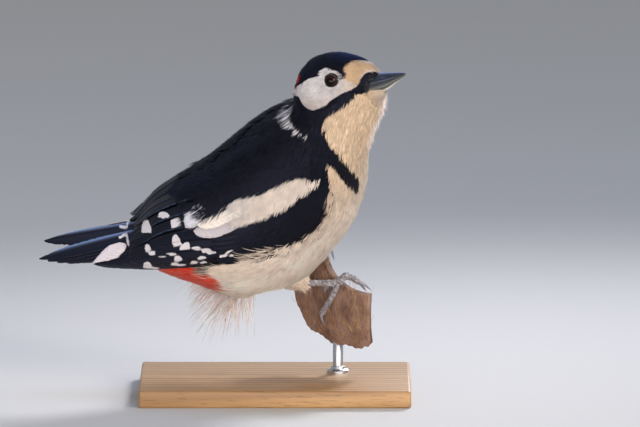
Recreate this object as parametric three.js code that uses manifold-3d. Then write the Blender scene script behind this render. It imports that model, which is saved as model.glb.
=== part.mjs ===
// Great spotted woodpecker (male), life size, as a still museum model.
// It clings to a short cut piece of a coconut shell's rim, held by a rod on a flat base.
// Millimetres, +Z up. The origin is the middle of the base's underside.
import * as THREE from 'three';
import { mergeVertices } from 'three/addons/utils/BufferGeometryUtils.js';
import Module from 'manifold-3d';

const wasm = await Module();
wasm.setup();

// ---------------------------------------------------------------- driving dimensions

const GAP = 0.3;                  // clearance between neighbouring nodes
const BODY_ROLL = 30;             // degrees, back leaning towards -Y
const BODY_PLACE = [-14.4, -8, 110.9];

// Body stations from the wing tips to the top of the neck.
// [x, z, lean of the section in degrees, half height, half width]
const BODY = [
  [-92.0, -34.0, 16.0, 7.0, 12.0],
  [-77.0, -31.5, 11.0, 9.0, 15.5],
  [-65.3, -28.1, 10.0, 12.5, 20.0],
  [-49.2, -23.3, 13.2, 25.0, 25.5],
  [-32.2, -19.7, 14.5, 34.3, 31.5],
  [-15.5, -17.9, 15.0, 43.0, 36.6],
  [0.6, -10.2, 17.4, 48.2, 39.6],
  [14.6, 0.9, 18.8, 50.4, 40.0],
  [29.0, 16.9, 25.3, 46.1, 36.8],
  [40.1, 30.9, 30.3, 40.9, 32.6],
  [45.8, 45.0, 38.8, 33.7, 27.4],
  [47.1, 57.6, 51.3, 26.8, 22.2],
  [48.9, 67.5, 66.8, 24.7, 19.4],
  [52.0, 76.8, 74.0, 24.8, 17.0],
  [53.0, 85.4, 78.0, 23.6, 14.4],
  [51.0, 92.0, 80.0, 16.0, 9.0],
];
const RUMP_START = 1.9;           // station where the tail leaves the body
const NECK_TOP = 14.8;            // station inside the head
const AROUND = 28;                // points round a body section
const HEAD_AROUND = 24;
const SADDLE_DEPTH = 3.6;         // hollow in the flank that a folded wing fills

const HEAD_PLACE = [48.6, 0, 92.6];
const HEAD_TURN = { roll: 6, pitch: -14, yaw: -12 };
// Head stations from nape to chin: [x, top, bottom, half width]
const HEAD = [
  [-23.4, 0.0, -7.0, 4.0],
  [-21.6, 3.4, -10.6, 8.6],
  [-17.5, 7.6, -14.6, 12.4],
  [-12.0, 11.4, -18.0, 14.4],
  [-6.0, 13.4, -20.2, 14.0],
  [0.0, 14.0, -20.8, 12.5],
  [6.0, 13.2, -20.4, 11.1],
  [11.5, 11.0, -20.6, 10.2],
  [16.5, 8.2, -20.6, 8.6],
  [20.8, 5.0, -20.0, 6.9],
  [24.0, 1.4, -18.8, 5.3],
  [26.2, -3.4, -17.6, 3.9],
];
const EYE = { radius: 4.7, x: -1.2, y: 9.4, z: 0.5, lid: 4.35, lidTube: 0.55 };
const NOSTRIL = { x: 28.2, y: 2.8, z: -6.8, length: 2.6, height: 0.7, depth: 0.9 };
// Bill stations: [x, culmen, mouth line, keel of the lower mandible, half width]
const BILL = [
  [15.0, -2.8, -9.0, -14.6, 6.0],
  [20.0, -3.2, -9.1, -14.4, 5.2],
  [25.0, -4.0, -9.2, -13.9, 4.3],
  [30.0, -5.2, -9.3, -13.1, 3.2],
  [34.6, -6.6, -9.2, -11.6, 2.1],
  [38.2, -7.7, -8.9, -10.0, 1.1],
  [39.8, -8.2, -8.7, -9.1, 0.5],
];

const VANE = { thick: 0.55, ridge: 0.3 };
const WING_FRONT = 9.45;          // station of the folded wrist
const TAIL = { length: 68, start: -56, rise: -14.6, slope: -12, pairs: 5, droop: 13, width: 11.5 };

const SHELL = { radius: 79, thick: 4.5, centre: [88, 64.6, 54.3], hole: 31.6, reach: 30 };
const SHELL_AXIS = new THREE.Vector3(-0.336, -0.75, 0.571).normalize();
const GRIP = { right: -121, left: -172 };   // turns round the hole where the feet grip
const BASE = { length: 156, depth: 108, height: 10, bevel: 1.5 };
const ROD = { radius: 3, turn: -114, overlap: 8 };

// ---------------------------------------------------------------- small helpers

const rad = THREE.MathUtils.degToRad;
const lerp = THREE.MathUtils.lerp;
const clamp = THREE.MathUtils.clamp;
const smooth = (a, b, v) => THREE.MathUtils.smoothstep(v, a, b);
const vec = (...p) => new THREE.Vector3(...p);

let seed = 11;
function random() {
  seed = (seed * 16807) % 2147483647;
  return seed / 2147483647;
}

// Catmull-Rom reading of a table of equal rows at a real-valued row number.
function readTable(table, at) {
  const last = table.length - 1;
  const i = clamp(Math.floor(at), 0, last - 1);
  const f = at - i;
  const row = (j) => {
    if (j < 0) return table[0].map((v, c) => 2 * v - table[1][c]);
    if (j > last) return table[last].map((v, c) => 2 * v - table[last - 1][c]);
    return table[j];
  };
  const [a, b, c, d] = [row(i - 1), row(i), row(i + 1), row(i + 2)];
  return b.map((v, k) => 0.5 * (2 * v + (c[k] - a[k]) * f
    + (2 * a[k] - 5 * v + 4 * c[k] - d[k]) * f * f
    + (3 * v - a[k] - 3 * c[k] + d[k]) * f ** 3));
}

// Piecewise-linear reading of [[at, value], ...].
function along(pairs, at) {
  if (at <= pairs[0][0]) return pairs[0][1];
  for (let i = 1; i < pairs.length; i += 1) {
    const [x1, y1] = pairs[i];
    const [x0, y0] = pairs[i - 1];
    if (at <= x1) return lerp(y0, y1, (at - x0) / (x1 - x0));
  }
  return pairs[pairs.length - 1][1];
}

// Closed solid from rings of equal length; both ends are closed by fans.
function ringSolid(rings) {
  const n = rings[0].length;
  const points = rings.flat();
  const faces = [];
  for (let r = 0; r < rings.length - 1; r += 1) {
    for (let i = 0; i < n; i += 1) {
      const j = (i + 1) % n;
      const [a, b] = [r * n + i, r * n + j];
      faces.push(a, b, b + n, a, b + n, a + n);
    }
  }
  for (const end of [0, rings.length - 1]) {
    const middle = rings[end].reduce((s, p) => s.add(p), vec(0, 0, 0)).divideScalar(n);
    points.push(middle);
    for (let i = 0; i < n; i += 1) {
      const [a, b] = [end * n + i, end * n + (i + 1) % n];
      if (end === 0) faces.push(points.length - 1, b, a);
      else faces.push(points.length - 1, a, b);
    }
  }
  const geometry = new THREE.BufferGeometry().setFromPoints(points);
  geometry.setIndex(faces);
  return solid(geometry);
}

// three.js geometry to a manifold solid, turned outside out if needed.
function solid(geometry, matrix) {
  const plain = geometry.clone();
  plain.deleteAttribute('normal');
  plain.deleteAttribute('uv');
  if (matrix) plain.applyMatrix4(matrix);
  const merged = mergeVertices(plain, 1e-4);
  const vertProperties = new Float32Array(merged.attributes.position.array);
  const triVerts = new Uint32Array(merged.index.array);
  const build = () => new wasm.Manifold(new wasm.Mesh({ numProp: 3, vertProperties, triVerts }));
  let made = build();
  if (made.volume() < 0) {
    for (let i = 0; i < triVerts.length; i += 3) {
      [triVerts[i + 1], triVerts[i + 2]] = [triVerts[i + 2], triVerts[i + 1]];
    }
    made = build();
  }
  return made;
}

function moved(body, matrix) {
  return solid(geometryOf(body), matrix);
}

function join(pieces) {
  return pieces.reduce((sum, piece) => sum.add(piece));
}

function largest(body) {
  return body.decompose().reduce((a, b) => (b.volume() > a.volume() ? b : a));
}

function geometryOf(body) {
  const mesh = body.getMesh();
  const step = mesh.numProp;
  const position = new Float32Array(mesh.numVert * 3);
  for (let i = 0; i < mesh.numVert; i += 1) {
    position.set(mesh.vertProperties.subarray(i * step, i * step + 3), i * 3);
  }
  const geometry = new THREE.BufferGeometry();
  geometry.setAttribute('position', new THREE.BufferAttribute(position, 3));
  geometry.setIndex(new THREE.BufferAttribute(new Uint32Array(mesh.triVerts), 1));
  geometry.computeVertexNormals();
  return geometry;
}

// Parts a solid with a slit of GAP across a plane; returns [behind, ahead].
function part(body, point, normal) {
  const turn = new THREE.Quaternion().setFromUnitVectors(vec(0, 0, 1), normal);
  const place = new THREE.Matrix4().compose(point, turn, vec(1, 1, 1));
  const slit = solid(new THREE.BoxGeometry(300, 300, GAP), place);
  const pieces = body.subtract(slit).decompose().sort((a, b) => b.volume() - a.volume());
  const two = pieces.slice(0, 2);
  const side = (piece) => {
    const box = piece.boundingBox();
    const middle = vec(...box.min).add(vec(...box.max)).multiplyScalar(0.5);
    return middle.sub(point).dot(normal);
  };
  return two.sort((a, b) => side(a) - side(b));
}

// ---------------------------------------------------------------- body surface

// Point of the body's outer surface. phi is 0 on the back and 180 under the belly.
function bodyPoint(s, phi, side = -1, lift = 0) {
  const [x, z, lean, high, wide] = readTable(BODY, s);
  const [t, f] = [rad(lean), rad(phi)];
  const up = (high + lift) * Math.cos(f);
  const out = side * (wide + lift) * Math.sin(f);
  const twist = rad((HEAD_TURN.roll - BODY_ROLL) * smooth(9.8, 13.4, s));
  const rise = Math.cos(t) * up;
  return vec(x - Math.sin(t) * up, out * Math.cos(twist) - rise * Math.sin(twist),
    z + rise * Math.cos(twist) + out * Math.sin(twist));
}

function bodyNormal(s, phi, side = -1) {
  const [, , lean, high, wide] = readTable(BODY, s);
  const [t, f] = [rad(lean), rad(phi)];
  const up = Math.cos(f) / high;
  return vec(-Math.sin(t) * up, side * Math.sin(f) / wide, Math.cos(t) * up).normalize();
}

// Lower edge and upper edge of the folded wing, as phi against station.
const WING_LOW = [[1.6, 112], [2.5, 100], [3.9, 92], [4.9, 84], [5.8, 80], [7.0, 90],
  [7.8, 103], [8.6, 110], [9.1, 108], [9.45, 98]];
const WING_TOP = [[1.6, 4], [5.2, 5], [6.4, 34], [7.6, 52], [8.6, 63], [9.1, 74], [9.45, 90]];

// How far the flesh lies inside the outer surface, so that wings and tail coverts fill it.
const TUCK_TOP = [[1.6, 0], [2.3, 0.6], [3, 1], [4, 0.8], [5, 0.3], [6, 0]];
const TUCK_SIDE = [[1.6, 7], [2.3, 6.5], [3, 5.5], [4, 3], [5, 1], [6, 0]];
const TUCK_LOW = [[1.7, 12], [2.1, 7], [2.6, 2.5], [3, 1], [4, 0]];

function tuck(s, phi) {
  const across = Math.sin(rad(phi)) ** 2;
  const ends = along(phi < 90 ? TUCK_TOP : TUCK_LOW, s);
  const [top, low] = [along(WING_TOP, s), along(WING_LOW, s)];
  const saddle = (s < 5.2 ? 1 : smooth(top - 9, top + 1, phi)) * (1 - smooth(low - 1, low + 9, phi));
  const front = 1 - smooth(9.2, 9.6, s);
  return lerp(ends, along(TUCK_SIDE, s), across) + SADDLE_DEPTH * saddle * front;
}

function fleshRing(s, grow) {
  const ring = [];
  for (let i = 0; i < AROUND; i += 1) {
    const turn = (360 * i) / AROUND;
    const side = turn <= 180 ? -1 : 1;
    const phi = turn <= 180 ? turn : 360 - turn;
    ring.push(bodyPoint(s, phi, side, grow - tuck(s, phi)));
  }
  return ring;
}

function fleshSolid(grow = 0) {
  const rings = [];
  for (let s = RUMP_START; s < NECK_TOP; s += 0.5) rings.push(fleshRing(s, grow));
  rings.push(fleshRing(NECK_TOP, grow));
  return ringSolid(rings);
}

// Pad that follows the body surface between two edges; lift(s, f) gives its outer face.
function padSolid(s0, s1, steps, top, low, across, floor, lift, side) {
  const rings = [];
  for (let i = 0; i <= steps; i += 1) {
    const s = lerp(s0, s1, i / steps);
    const outer = [];
    const inner = [];
    for (let j = 0; j <= across; j += 1) {
      const f = j / across;
      const phi = lerp(top(s), low(s), f);
      outer.push(bodyPoint(s, phi, side, lift(s, f)));
      inner.push(bodyPoint(s, phi, side, floor(s, f)));
    }
    rings.push([...outer, ...inner.reverse()]);
  }
  return ringSolid(rings);
}

// ---------------------------------------------------------------- vanes

// Feather vane along frames {p, n, t}: rachis ridge on top, flat below.
function vaneSolid(frames, width, { thick, ridge } = VANE, tilt = 0) {
  const last = frames.length - 1;
  const rings = frames.map(({ p, n, t }, i) => {
    const u = i / last;
    const across = t.clone().cross(n).normalize();
    across.applyAxisAngle(t, rad(tilt));
    const up = across.clone().cross(t).normalize();
    const [left, right] = width(u);
    const h = (thick / 2) * (u > 0.99 ? 0.6 : 1);
    const at = (a, b) => p.clone().addScaledVector(across, a).addScaledVector(up, b);
    return [at(-left, h), at(0, h + ridge), at(right, h), at(right, -h), at(0, -h), at(-left, -h)];
  });
  return ringSolid(rings);
}

// Frames of a feather that lies along the body from one (s, phi) to another.
function lieFrames(from, to, lift, count, side, bow = 0) {
  const frames = [];
  for (let i = 0; i < count; i += 1) {
    const u = i / (count - 1);
    const s = lerp(from[0], to[0], u);
    const phi = lerp(from[1], to[1], u) + bow * Math.sin(Math.PI * u);
    const p = bodyPoint(s, phi, side, lerp(lift[0], lift[1], u));
    frames.push({ p, n: bodyNormal(s, phi, side) });
  }
  frames.forEach((f, i) => {
    const a = frames[Math.max(i - 1, 0)].p;
    const b = frames[Math.min(i + 1, count - 1)].p;
    f.t = b.clone().sub(a).normalize();
    f.n.addScaledVector(f.t, -f.n.dot(f.t)).normalize();
  });
  return frames;
}

const featherWidth = (inner, outer, point = 0.3) => (u) => {
  const body = along([[0, 0.55], [0.2, 0.9], [0.6, 1], [0.85, 0.86], [1, point]], u);
  return [inner * body, outer * body];
};

// ---------------------------------------------------------------- wings

// Flight feathers as [root station, root phi, tip station, tip phi, inner web, outer web].
const TERTIALS = [
  [5.6, 20, 2.05, 8, 5.2, 5.6],
  [5.7, 31, 1.95, 22, 5.2, 5.4],
  [5.8, 42, 1.85, 36, 5.0, 5.2],
];
const SECONDARIES = [
  [5.9, 53, 1.75, 50, 4.8, 5.0],
  [6.0, 63, 1.7, 63, 4.6, 4.8],
  [6.0, 72, 1.75, 76, 4.4, 4.6],
];
const PRIMARIES = [
  [5.6, 70, 1.0, 74, 4.2, 3.4],
  [5.7, 76, 0.62, 84, 4.0, 3.2],
  [5.8, 81, 0.3, 92, 3.8, 3.0],
  [5.9, 85, 0.1, 101, 3.6, 2.8],
  [6.0, 88, 0.35, 110, 3.4, 2.4],
];
const COVERTS = { count: 7, root: 6.75, tip: 4.9, from: 58, to: 92, width: 4.2 };

function wingSolid(side) {
  const pad = padSolid(5.15, WING_FRONT, 8,
    (s) => along(WING_TOP, s), (s) => along(WING_LOW, s), 5,
    () => -5.5,
    (s, f) => 0.5 + 0.7 * Math.sin(Math.PI * f) - 1.6 * smooth(9.0, 9.45, s)
      - 1.2 * (1 - smooth(5.15, 5.8, s)),
    side);
  const pieces = [pad];
  for (const [list, lifts] of [[TERTIALS, [-1.4, 0.9]], [SECONDARIES, [-1.8, 0.3]],
    [PRIMARIES, [-3.2, -1.2]]]) {
    for (const [s0, p0, s1, p1, inner, outer] of list) {
      const frames = lieFrames([s0, p0], [s1, p1], lifts, 5, side);
      const webs = side < 0 ? [inner, outer] : [outer, inner];
      pieces.push(vaneSolid(frames, featherWidth(...webs, 0.35), VANE, side * -9));
    }
  }
  for (let i = 0; i < COVERTS.count; i += 1) {
    const phi = lerp(COVERTS.from, COVERTS.to, i / (COVERTS.count - 1));
    const frames = lieFrames([COVERTS.root, phi + 4], [COVERTS.tip, phi - 2], [-1.4, 1.1], 4, side);
    pieces.push(vaneSolid(frames, featherWidth(COVERTS.width, COVERTS.width, 0.4), VANE, side * -9));
  }
  return join(pieces);
}

// White scapular patch: overlapping rounded lobes over the wing's upper part.
const PATCH_TOP = [[4.1, 40], [4.6, 42], [6.1, 43], [6.75, 49], [7.58, 56], [8.65, 66], [9.35, 84]];
const PATCH_LOW = [[4.1, 48], [4.81, 60], [6.4, 64], [7.61, 74], [8.15, 77], [8.9, 84], [9.35, 90]];

function scapularSolid(side) {
  const pad = padSolid(4.9, 9.3, 8,
    (s) => along(PATCH_TOP, s), (s) => along(PATCH_LOW, s), 3,
    () => -1.5,
    (s, f) => {
      const swell = Math.sin(Math.PI * clamp((s - 4.9) / 4.4, 0.08, 0.92));
      return 1.3 + 0.7 * Math.sin(Math.PI * f) * swell;
    },
    side);
  const lobes = [
    [[6.2, 50], [4.35, 33], 4.6],
    [[6.2, 52], [4.05, 43], 5.0],
    [[6.4, 56], [4.3, 54], 5.0],
    [[6.6, 60], [4.8, 60], 4.6],
  ];
  const vanes = lobes.map(([root, tip, wide]) => {
    const frames = lieFrames(root, tip, [0.9, 1.9], 4, side);
    return vaneSolid(frames, featherWidth(wide, wide, 0.5), VANE, side * -6);
  });
  return join([pad, ...vanes]);
}

// ---------------------------------------------------------------- tail

function tailSolid() {
  const place = new THREE.Matrix4().makeRotationY(rad(TAIL.slope)).setPosition(TAIL.start, 0, TAIL.rise);
  const block = new THREE.BoxGeometry(22, 13, 3.6);
  block.translate(-7, 0, -1.6);
  const pieces = [solid(block, place)];
  for (const side of [-1, 1]) {
    for (let k = 0; k < TAIL.pairs; k += 1) {
      const share = [1, 0.93, 0.85, 0.76, 0.64][k] * (side < 0 ? 1 : 0.96);
      const frames = [];
      for (let i = 0; i <= 4; i += 1) {
        const d = (TAIL.length * share * i) / 4;
        const out = 3.0 + 0.9 * k + d * (0.075 + 0.02 * k);
        const down = out * Math.tan(rad(TAIL.droop)) + 2.2 * (d / TAIL.length) ** 2;
        frames.push({ p: vec(-d, side * out, -0.95 * k - down).applyMatrix4(place) });
      }
      frames.forEach((f, i) => {
        const a = frames[Math.max(i - 1, 0)].p;
        const b = frames[Math.min(i + 1, 4)].p;
        f.t = b.clone().sub(a).normalize();
        f.n = vec(0, side * Math.sin(rad(TAIL.droop)), Math.cos(rad(TAIL.droop)));
        f.n.addScaledVector(f.t, -f.n.dot(f.t)).normalize();
      });
      const half = (TAIL.width / 2) * [1, 0.95, 0.9, 0.82, 0.7][k];
      const width = (u) => {
        const web = along([[0, 0.5], [0.2, 0.85], [0.5, 1], [0.75, 0.86], [0.9, 0.5], [1, 0.14]], u);
        return [half * web, half * web];
      };
      pieces.push(vaneSolid(frames, width, { thick: 0.6, ridge: 0.4 }));
    }
  }
  return join(pieces);
}

// ---------------------------------------------------------------- head

const headMatrix = new THREE.Matrix4();
{
  const turn = (axis, angle) => new THREE.Matrix4().makeRotationAxis(axis, rad(angle));
  const worldTurn = turn(vec(0, 0, 1), HEAD_TURN.yaw)
    .multiply(turn(vec(0, 1, 0), HEAD_TURN.pitch))
    .multiply(turn(vec(1, 0, 0), HEAD_TURN.roll));
  headMatrix.copy(turn(vec(1, 0, 0), -BODY_ROLL).multiply(worldTurn));
  headMatrix.setPosition(...HEAD_PLACE);
}

function headRing([x, top, bottom, wide], grow) {
  const ring = [];
  const middle = (top + bottom) / 2;
  const high = (top - bottom) / 2 + grow;
  for (let i = 0; i < HEAD_AROUND; i += 1) {
    const f = (2 * Math.PI * i) / HEAD_AROUND;
    const pinch = 1 - 0.1 * Math.sin(f) ** 2 * Math.max(0, -Math.cos(f));
    ring.push(vec(x, -(wide + grow) * Math.sin(f) * pinch, middle + high * Math.cos(f)));
  }
  return ring;
}

function headCore(grow = 0) {
  const rings = [];
  const last = HEAD.length - 1;
  for (let i = 0; i <= last * 2; i += 1) rings.push(headRing(readTable(HEAD, i / 2), grow));
  rings.unshift(headRing([HEAD[0][0] - 0.8, -1.6, -5.4, 1.8], grow * 0.5));
  rings.push(headRing([HEAD[last][0] + 1.0, -8, -16.6, 2.4], grow * 0.5));
  return ringSolid(rings);
}

function billHalf(upper, grow = 0) {
  const rings = [];
  for (const [x, culmen, mouth, keel, wide] of BILL) {
    const w = wide + grow;
    const tip = grow * ((x === BILL[BILL.length - 1][0]) - (x === BILL[0][0]));
    if (upper) {
      const [a, b] = [mouth + (grow ? -GAP - grow : GAP / 2), culmen + grow];
      rings.push([[0, b], [-w * 0.34, b - 0.35 * (b - a) * 0.5], [-w * 0.82, lerp(a, b, 0.45)],
        [-w, lerp(a, b, 0.12)], [-w * 0.94, a], [0, a], [w * 0.94, a], [w, lerp(a, b, 0.12)],
        [w * 0.82, lerp(a, b, 0.45)], [w * 0.34, b - 0.35 * (b - a) * 0.5]]
        .map(([y, z]) => vec(x + tip, y, z)));
    } else {
      const [a, b] = [mouth + (grow ? GAP + grow : -GAP / 2), keel - grow];
      rings.push([[0, a], [-w * 0.9, a], [-w * 0.92, lerp(a, b, 0.2)], [-w * 0.7, lerp(a, b, 0.6)],
        [-w * 0.3, lerp(a, b, 0.92)], [0, b], [w * 0.3, lerp(a, b, 0.92)],
        [w * 0.7, lerp(a, b, 0.6)], [w * 0.92, lerp(a, b, 0.2)], [w * 0.9, a]]
        .map(([y, z]) => vec(x + tip, y, z)));
    }
  }
  return ringSolid(rings);
}

// Upper mandible with its slit nostrils.
function upperBill() {
  let bill = billHalf(true);
  for (const side of [-1, 1]) {
    const slit = new THREE.SphereGeometry(1, 10, 6);
    slit.scale(NOSTRIL.length / 2, NOSTRIL.depth, NOSTRIL.height / 2);
    const place = new THREE.Matrix4().makeRotationY(rad(6))
      .setPosition(NOSTRIL.x, side * NOSTRIL.y, NOSTRIL.z);
    bill = bill.subtract(solid(slit, place));
  }
  return bill;
}

function sphere(radius, x, y, z, rings = 20) {
  const ball = new THREE.SphereGeometry(radius, rings + 4, Math.round(rings * 0.7));
  return solid(ball, new THREE.Matrix4().makeTranslation(x, y, z));
}

function headSolid() {
  let head = headCore();
  for (const side of [-1, 1]) {
    const lid = solid(new THREE.TorusGeometry(EYE.lid, EYE.lidTube, 6, 16),
      new THREE.Matrix4().makeRotationX(Math.PI / 2).setPosition(EYE.x, side * (EYE.y + 2.4), EYE.z));
    head = head.add(lid);
  }
  for (const side of [-1, 1]) {
    head = head.subtract(sphere(EYE.radius + GAP, EYE.x, side * EYE.y, EYE.z, 14));
  }
  head = head.subtract(billHalf(true, 2 * GAP)).subtract(billHalf(false, 2 * GAP));
  return largest(head);
}

// ---------------------------------------------------------------- perch, legs and feet

const holeSide = vec(0, 0, 1).cross(SHELL_AXIS).normalize();
const holeUp = SHELL_AXIS.clone().cross(holeSide).normalize();
const shellCentre = vec(...SHELL.centre);

// Point of the coconut shell at an angle from the hole's axis and a turn round it.
function shellPoint(turn, angle, radius = SHELL.radius) {
  const [a, b] = [rad(turn), rad(angle)];
  const out = holeSide.clone().multiplyScalar(Math.cos(a)).addScaledVector(holeUp, Math.sin(a));
  return shellCentre.clone().addScaledVector(SHELL_AXIS, radius * Math.cos(b))
    .addScaledVector(out, radius * Math.sin(b));
}

// Turn round the hole's axis of the rim point nearest to a given point.
function shellTurn(point) {
  const d = vec(...point).sub(shellCentre);
  return THREE.MathUtils.radToDeg(Math.atan2(d.dot(holeUp), d.dot(holeSide)));
}

function perchSolid(grow = 0) {
  const [from, to] = [GRIP.right + 28, GRIP.left - 20];
  const edge = (grow / SHELL.radius) * (180 / Math.PI);
  const rings = [];
  const steps = 18;
  const across = 6;
  for (let i = 0; i <= steps; i += 1) {
    const u = i / steps;
    const turn = lerp(from + edge * 2, to - edge * 2, u);
    const wave = 0.9 * Math.sin(i * 1.9) + 0.6 * Math.sin(i * 0.83 + 1);
    const round = Math.sin(Math.PI * clamp(u, 0.03, 0.97)) ** 0.5;
    const far = SHELL.hole + SHELL.reach * (0.62 + 0.38 * round) + wave + edge;
    const outer = [];
    const inner = [];
    for (let j = 0; j <= across; j += 1) {
      const angle = lerp(SHELL.hole - edge, far, j / across);
      outer.push(shellPoint(turn, angle, SHELL.radius + grow));
      inner.push(shellPoint(turn, angle, SHELL.radius - SHELL.thick - grow));
    }
    rings.push([...outer, ...inner.reverse()]);
  }
  return ringSolid(rings);
}

// Place near the rim: turn round the hole, reach into the hole (negative is down the
// outside of the shell) and height over the shell's outer face.
function rimPlace(turn, reach, height) {
  if (reach < 0) {
    const angle = SHELL.hole - THREE.MathUtils.radToDeg(reach / SHELL.radius);
    return shellPoint(turn, angle, SHELL.radius + height);
  }
  const edge = shellPoint(turn, SHELL.hole);
  const out = edge.clone().sub(shellCentre).normalize();
  const inward = edge.clone().sub(shellPoint(turn, SHELL.hole + 1)).normalize();
  return edge.addScaledVector(out, height).addScaledVector(inward, reach);
}

// Round bar along a list of points with a radius at each.
function bar(points, radii, sides = 8, fine = 1) {
  const curve = new THREE.CatmullRomCurve3(points, false, 'centripetal');
  const count = (points.length - 1) * fine;
  const rings = [];
  let up = vec(0.1, 0.2, 1).normalize();
  for (let i = 0; i <= count; i += 1) {
    const u = i / count;
    const p = curve.getPoint(u);
    const t = curve.getTangent(u);
    up = up.clone().addScaledVector(t, -up.dot(t)).normalize();
    const across = t.clone().cross(up);
    const at = u * (radii.length - 1);
    const j = Math.min(Math.floor(at), radii.length - 2);
    const r = lerp(radii[j], radii[j + 1], at - j);
    const ring = [];
    for (let k = 0; k < sides; k += 1) {
      const f = (2 * Math.PI * k) / sides;
      ring.push(p.clone().addScaledVector(across, r * Math.cos(f)).addScaledVector(up, r * Math.sin(f)));
    }
    rings.push(ring);
  }
  return ringSolid(rings);
}

const birdMatrix = new THREE.Matrix4().makeRotationX(rad(BODY_ROLL)).setPosition(...BODY_PLACE);
const HEEL = { right: [30.0, -14, -46.2], left: [25.0, 16.0, -47.5] };
const HIP = { right: [19, -17, -30], left: [13, 18, -33] };

function thighSolid(label, grow = 0) {
  const [hip, heel] = [vec(...HIP[label]), vec(...HEEL[label])];
  const on = (u) => hip.clone().lerp(heel, u);
  const radii = [9.5, 10, 8.6, 6.0, 3.0].map((r) => r + grow);
  return bar([on(0), on(0.3), on(0.6), on(0.85), on(1.04)], radii, 14);
}

// Toes as [turn offset, reach, height] from the foot's middle, knuckle by knuckle;
// the last two places belong to the claw.
const TOES = {
  inner: [[1.5, 3.5, 2.6], [7, 6.6, 1.4], [13, 5.6, -2.6], [17, 3.2, -5.4], [20, 0.4, -7.2]],
  middle: [[2, 2.2, 3.0], [5, 7.2, 2.6], [14, 6.6, -0.6], [20, 5.0, -3.4], [26, 1.6, -6.6]],
  outer: [[0, -4, 2.1], [-1, -11, 1.9], [-3.6, -21.5, 1.8], [-3.4, -25.5, 2.3], [0.4, -29.2, 0.7]],
  hind: [[-3, -2.2, 2.0], [-6.5, -4.2, 1.9], [-8.5, -7.4, 1.7], [-8.6, -9.6, 1.6], [-7.6, -11.8, 0.6]],
};

function footPlace(label, [turn, reach, height]) {
  const mirror = label === 'right' ? 1 : 0.9;
  return rimPlace(GRIP[label] + turn * mirror, reach, height);
}

function legSolid(label) {
  const middle = footPlace(label, [0, 0, 3.2]);
  const heel = vec(...HEEL[label]).applyMatrix4(birdMatrix);
  const knee = heel.clone().lerp(middle, -0.18);
  const pieces = [bar([knee, heel.clone().lerp(middle, 0.12), heel.clone().lerp(middle, 0.6), middle],
    [2.0, 1.9, 1.7, 2.3], 9, 1)];
  for (const places of Object.values(TOES)) {
    const points = [middle, ...places.slice(0, 4).map((place) => footPlace(label, place))];
    points[4] = points[3].clone().lerp(points[4], 0.25);
    pieces.push(bar(points, [2.0, 1.9, 1.5, 1.65, 1.0], 7, 1));
  }
  return join(pieces);
}

function clawSolid(label, places) {
  const [a, b, c] = places.slice(2).map((place) => footPlace(label, place));
  const start = a.clone().lerp(b, 0.25);
  start.addScaledVector(b.clone().sub(a).normalize(), 3 * GAP);
  return bar([start, start.clone().lerp(b, 0.6), b.clone().lerp(c, 0.3), c], [1.05, 0.95, 0.7, 0.15], 7, 1);
}

// Loose down that hangs from the belly, as flat tapered locks in two rows.
const LOCKS = { count: 14, from: 3.9, to: 5.3, length: 20 };

function lockSolids() {
  const toBird = birdMatrix.clone().invert();
  const locks = [];
  for (let i = 0; i < LOCKS.count; i += 1) {
    const u = i / (LOCKS.count - 1);
    const s = lerp(LOCKS.from, LOCKS.to, u);
    const fall = vec(lerp(-0.5, 0.12, u), 0, -1).normalize().transformDirection(toBird);
    const phi = i % 2 ? 148 : 166;
    const side = i % 4 === 2 ? 1 : -1;
    const root = bodyPoint(s, phi, side, -5);
    const middling = 0.6 + 0.4 * Math.sin(Math.PI * clamp(u, 0.05, 0.95));
    const long = LOCKS.length * middling * (0.85 + 0.3 * random());
    const curl = 2.5 + 2 * random();
    const frames = [];
    for (let j = 0; j <= 4; j += 1) {
      const d = (j / 4) * (long + 5);
      const p = root.clone().addScaledVector(fall, d);
      p.x -= curl * Math.sin((j / 4) * 2.4);
      frames.push({ p, n: vec(0.2 * (i % 3 - 1), -1, 0.2).normalize() });
    }
    frames.forEach((f, j) => {
      const a = frames[Math.max(j - 1, 0)].p;
      const b = frames[Math.min(j + 1, 4)].p;
      f.t = b.clone().sub(a).normalize();
      f.n.addScaledVector(f.t, -f.n.dot(f.t)).normalize();
    });
    const width = (v) => {
      const half = 3.4 * along([[0, 1], [0.45, 1], [0.75, 0.6], [1, 0.08]], v);
      return [half, half];
    };
    locks.push(vaneSolid(frames, width, { thick: 0.7, ridge: 0.3 }));
  }
  return locks;
}

// ---------------------------------------------------------------- assembly

const bird = new THREE.Group();
bird.rotation.x = rad(BODY_ROLL);
bird.position.set(...BODY_PLACE);
const headGroup = new THREE.Group();
headMatrix.decompose(headGroup.position, headGroup.quaternion, headGroup.scale);
bird.add(headGroup);

const group = new THREE.Group();
group.add(bird);

const COLOURS = {
  black: [0x15161c, 0.5],
  cream: [0xd9c3a0, 0.9],
  white: [0xe9e6e0, 0.85],
  red: [0xc0281c, 0.8],
  slate: [0x3c434e, 0.45],
  eye: [0x2a0f0d, 0.1],
  skin: [0x8d8f98, 0.7],
  shell: [0x6b4a3a, 0.85],
  wood: [0x9a7450, 0.6],
  steel: [0xb9bcc2, 0.35],
};

function add(parent, name, body, look, metalness = 0) {
  const [color, roughness] = COLOURS[look];
  const material = new THREE.MeshStandardMaterial({ color, roughness, metalness });
  const mesh = new THREE.Mesh(geometryOf(body), material);
  mesh.name = name;
  parent.add(mesh);
  return mesh;
}

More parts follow.
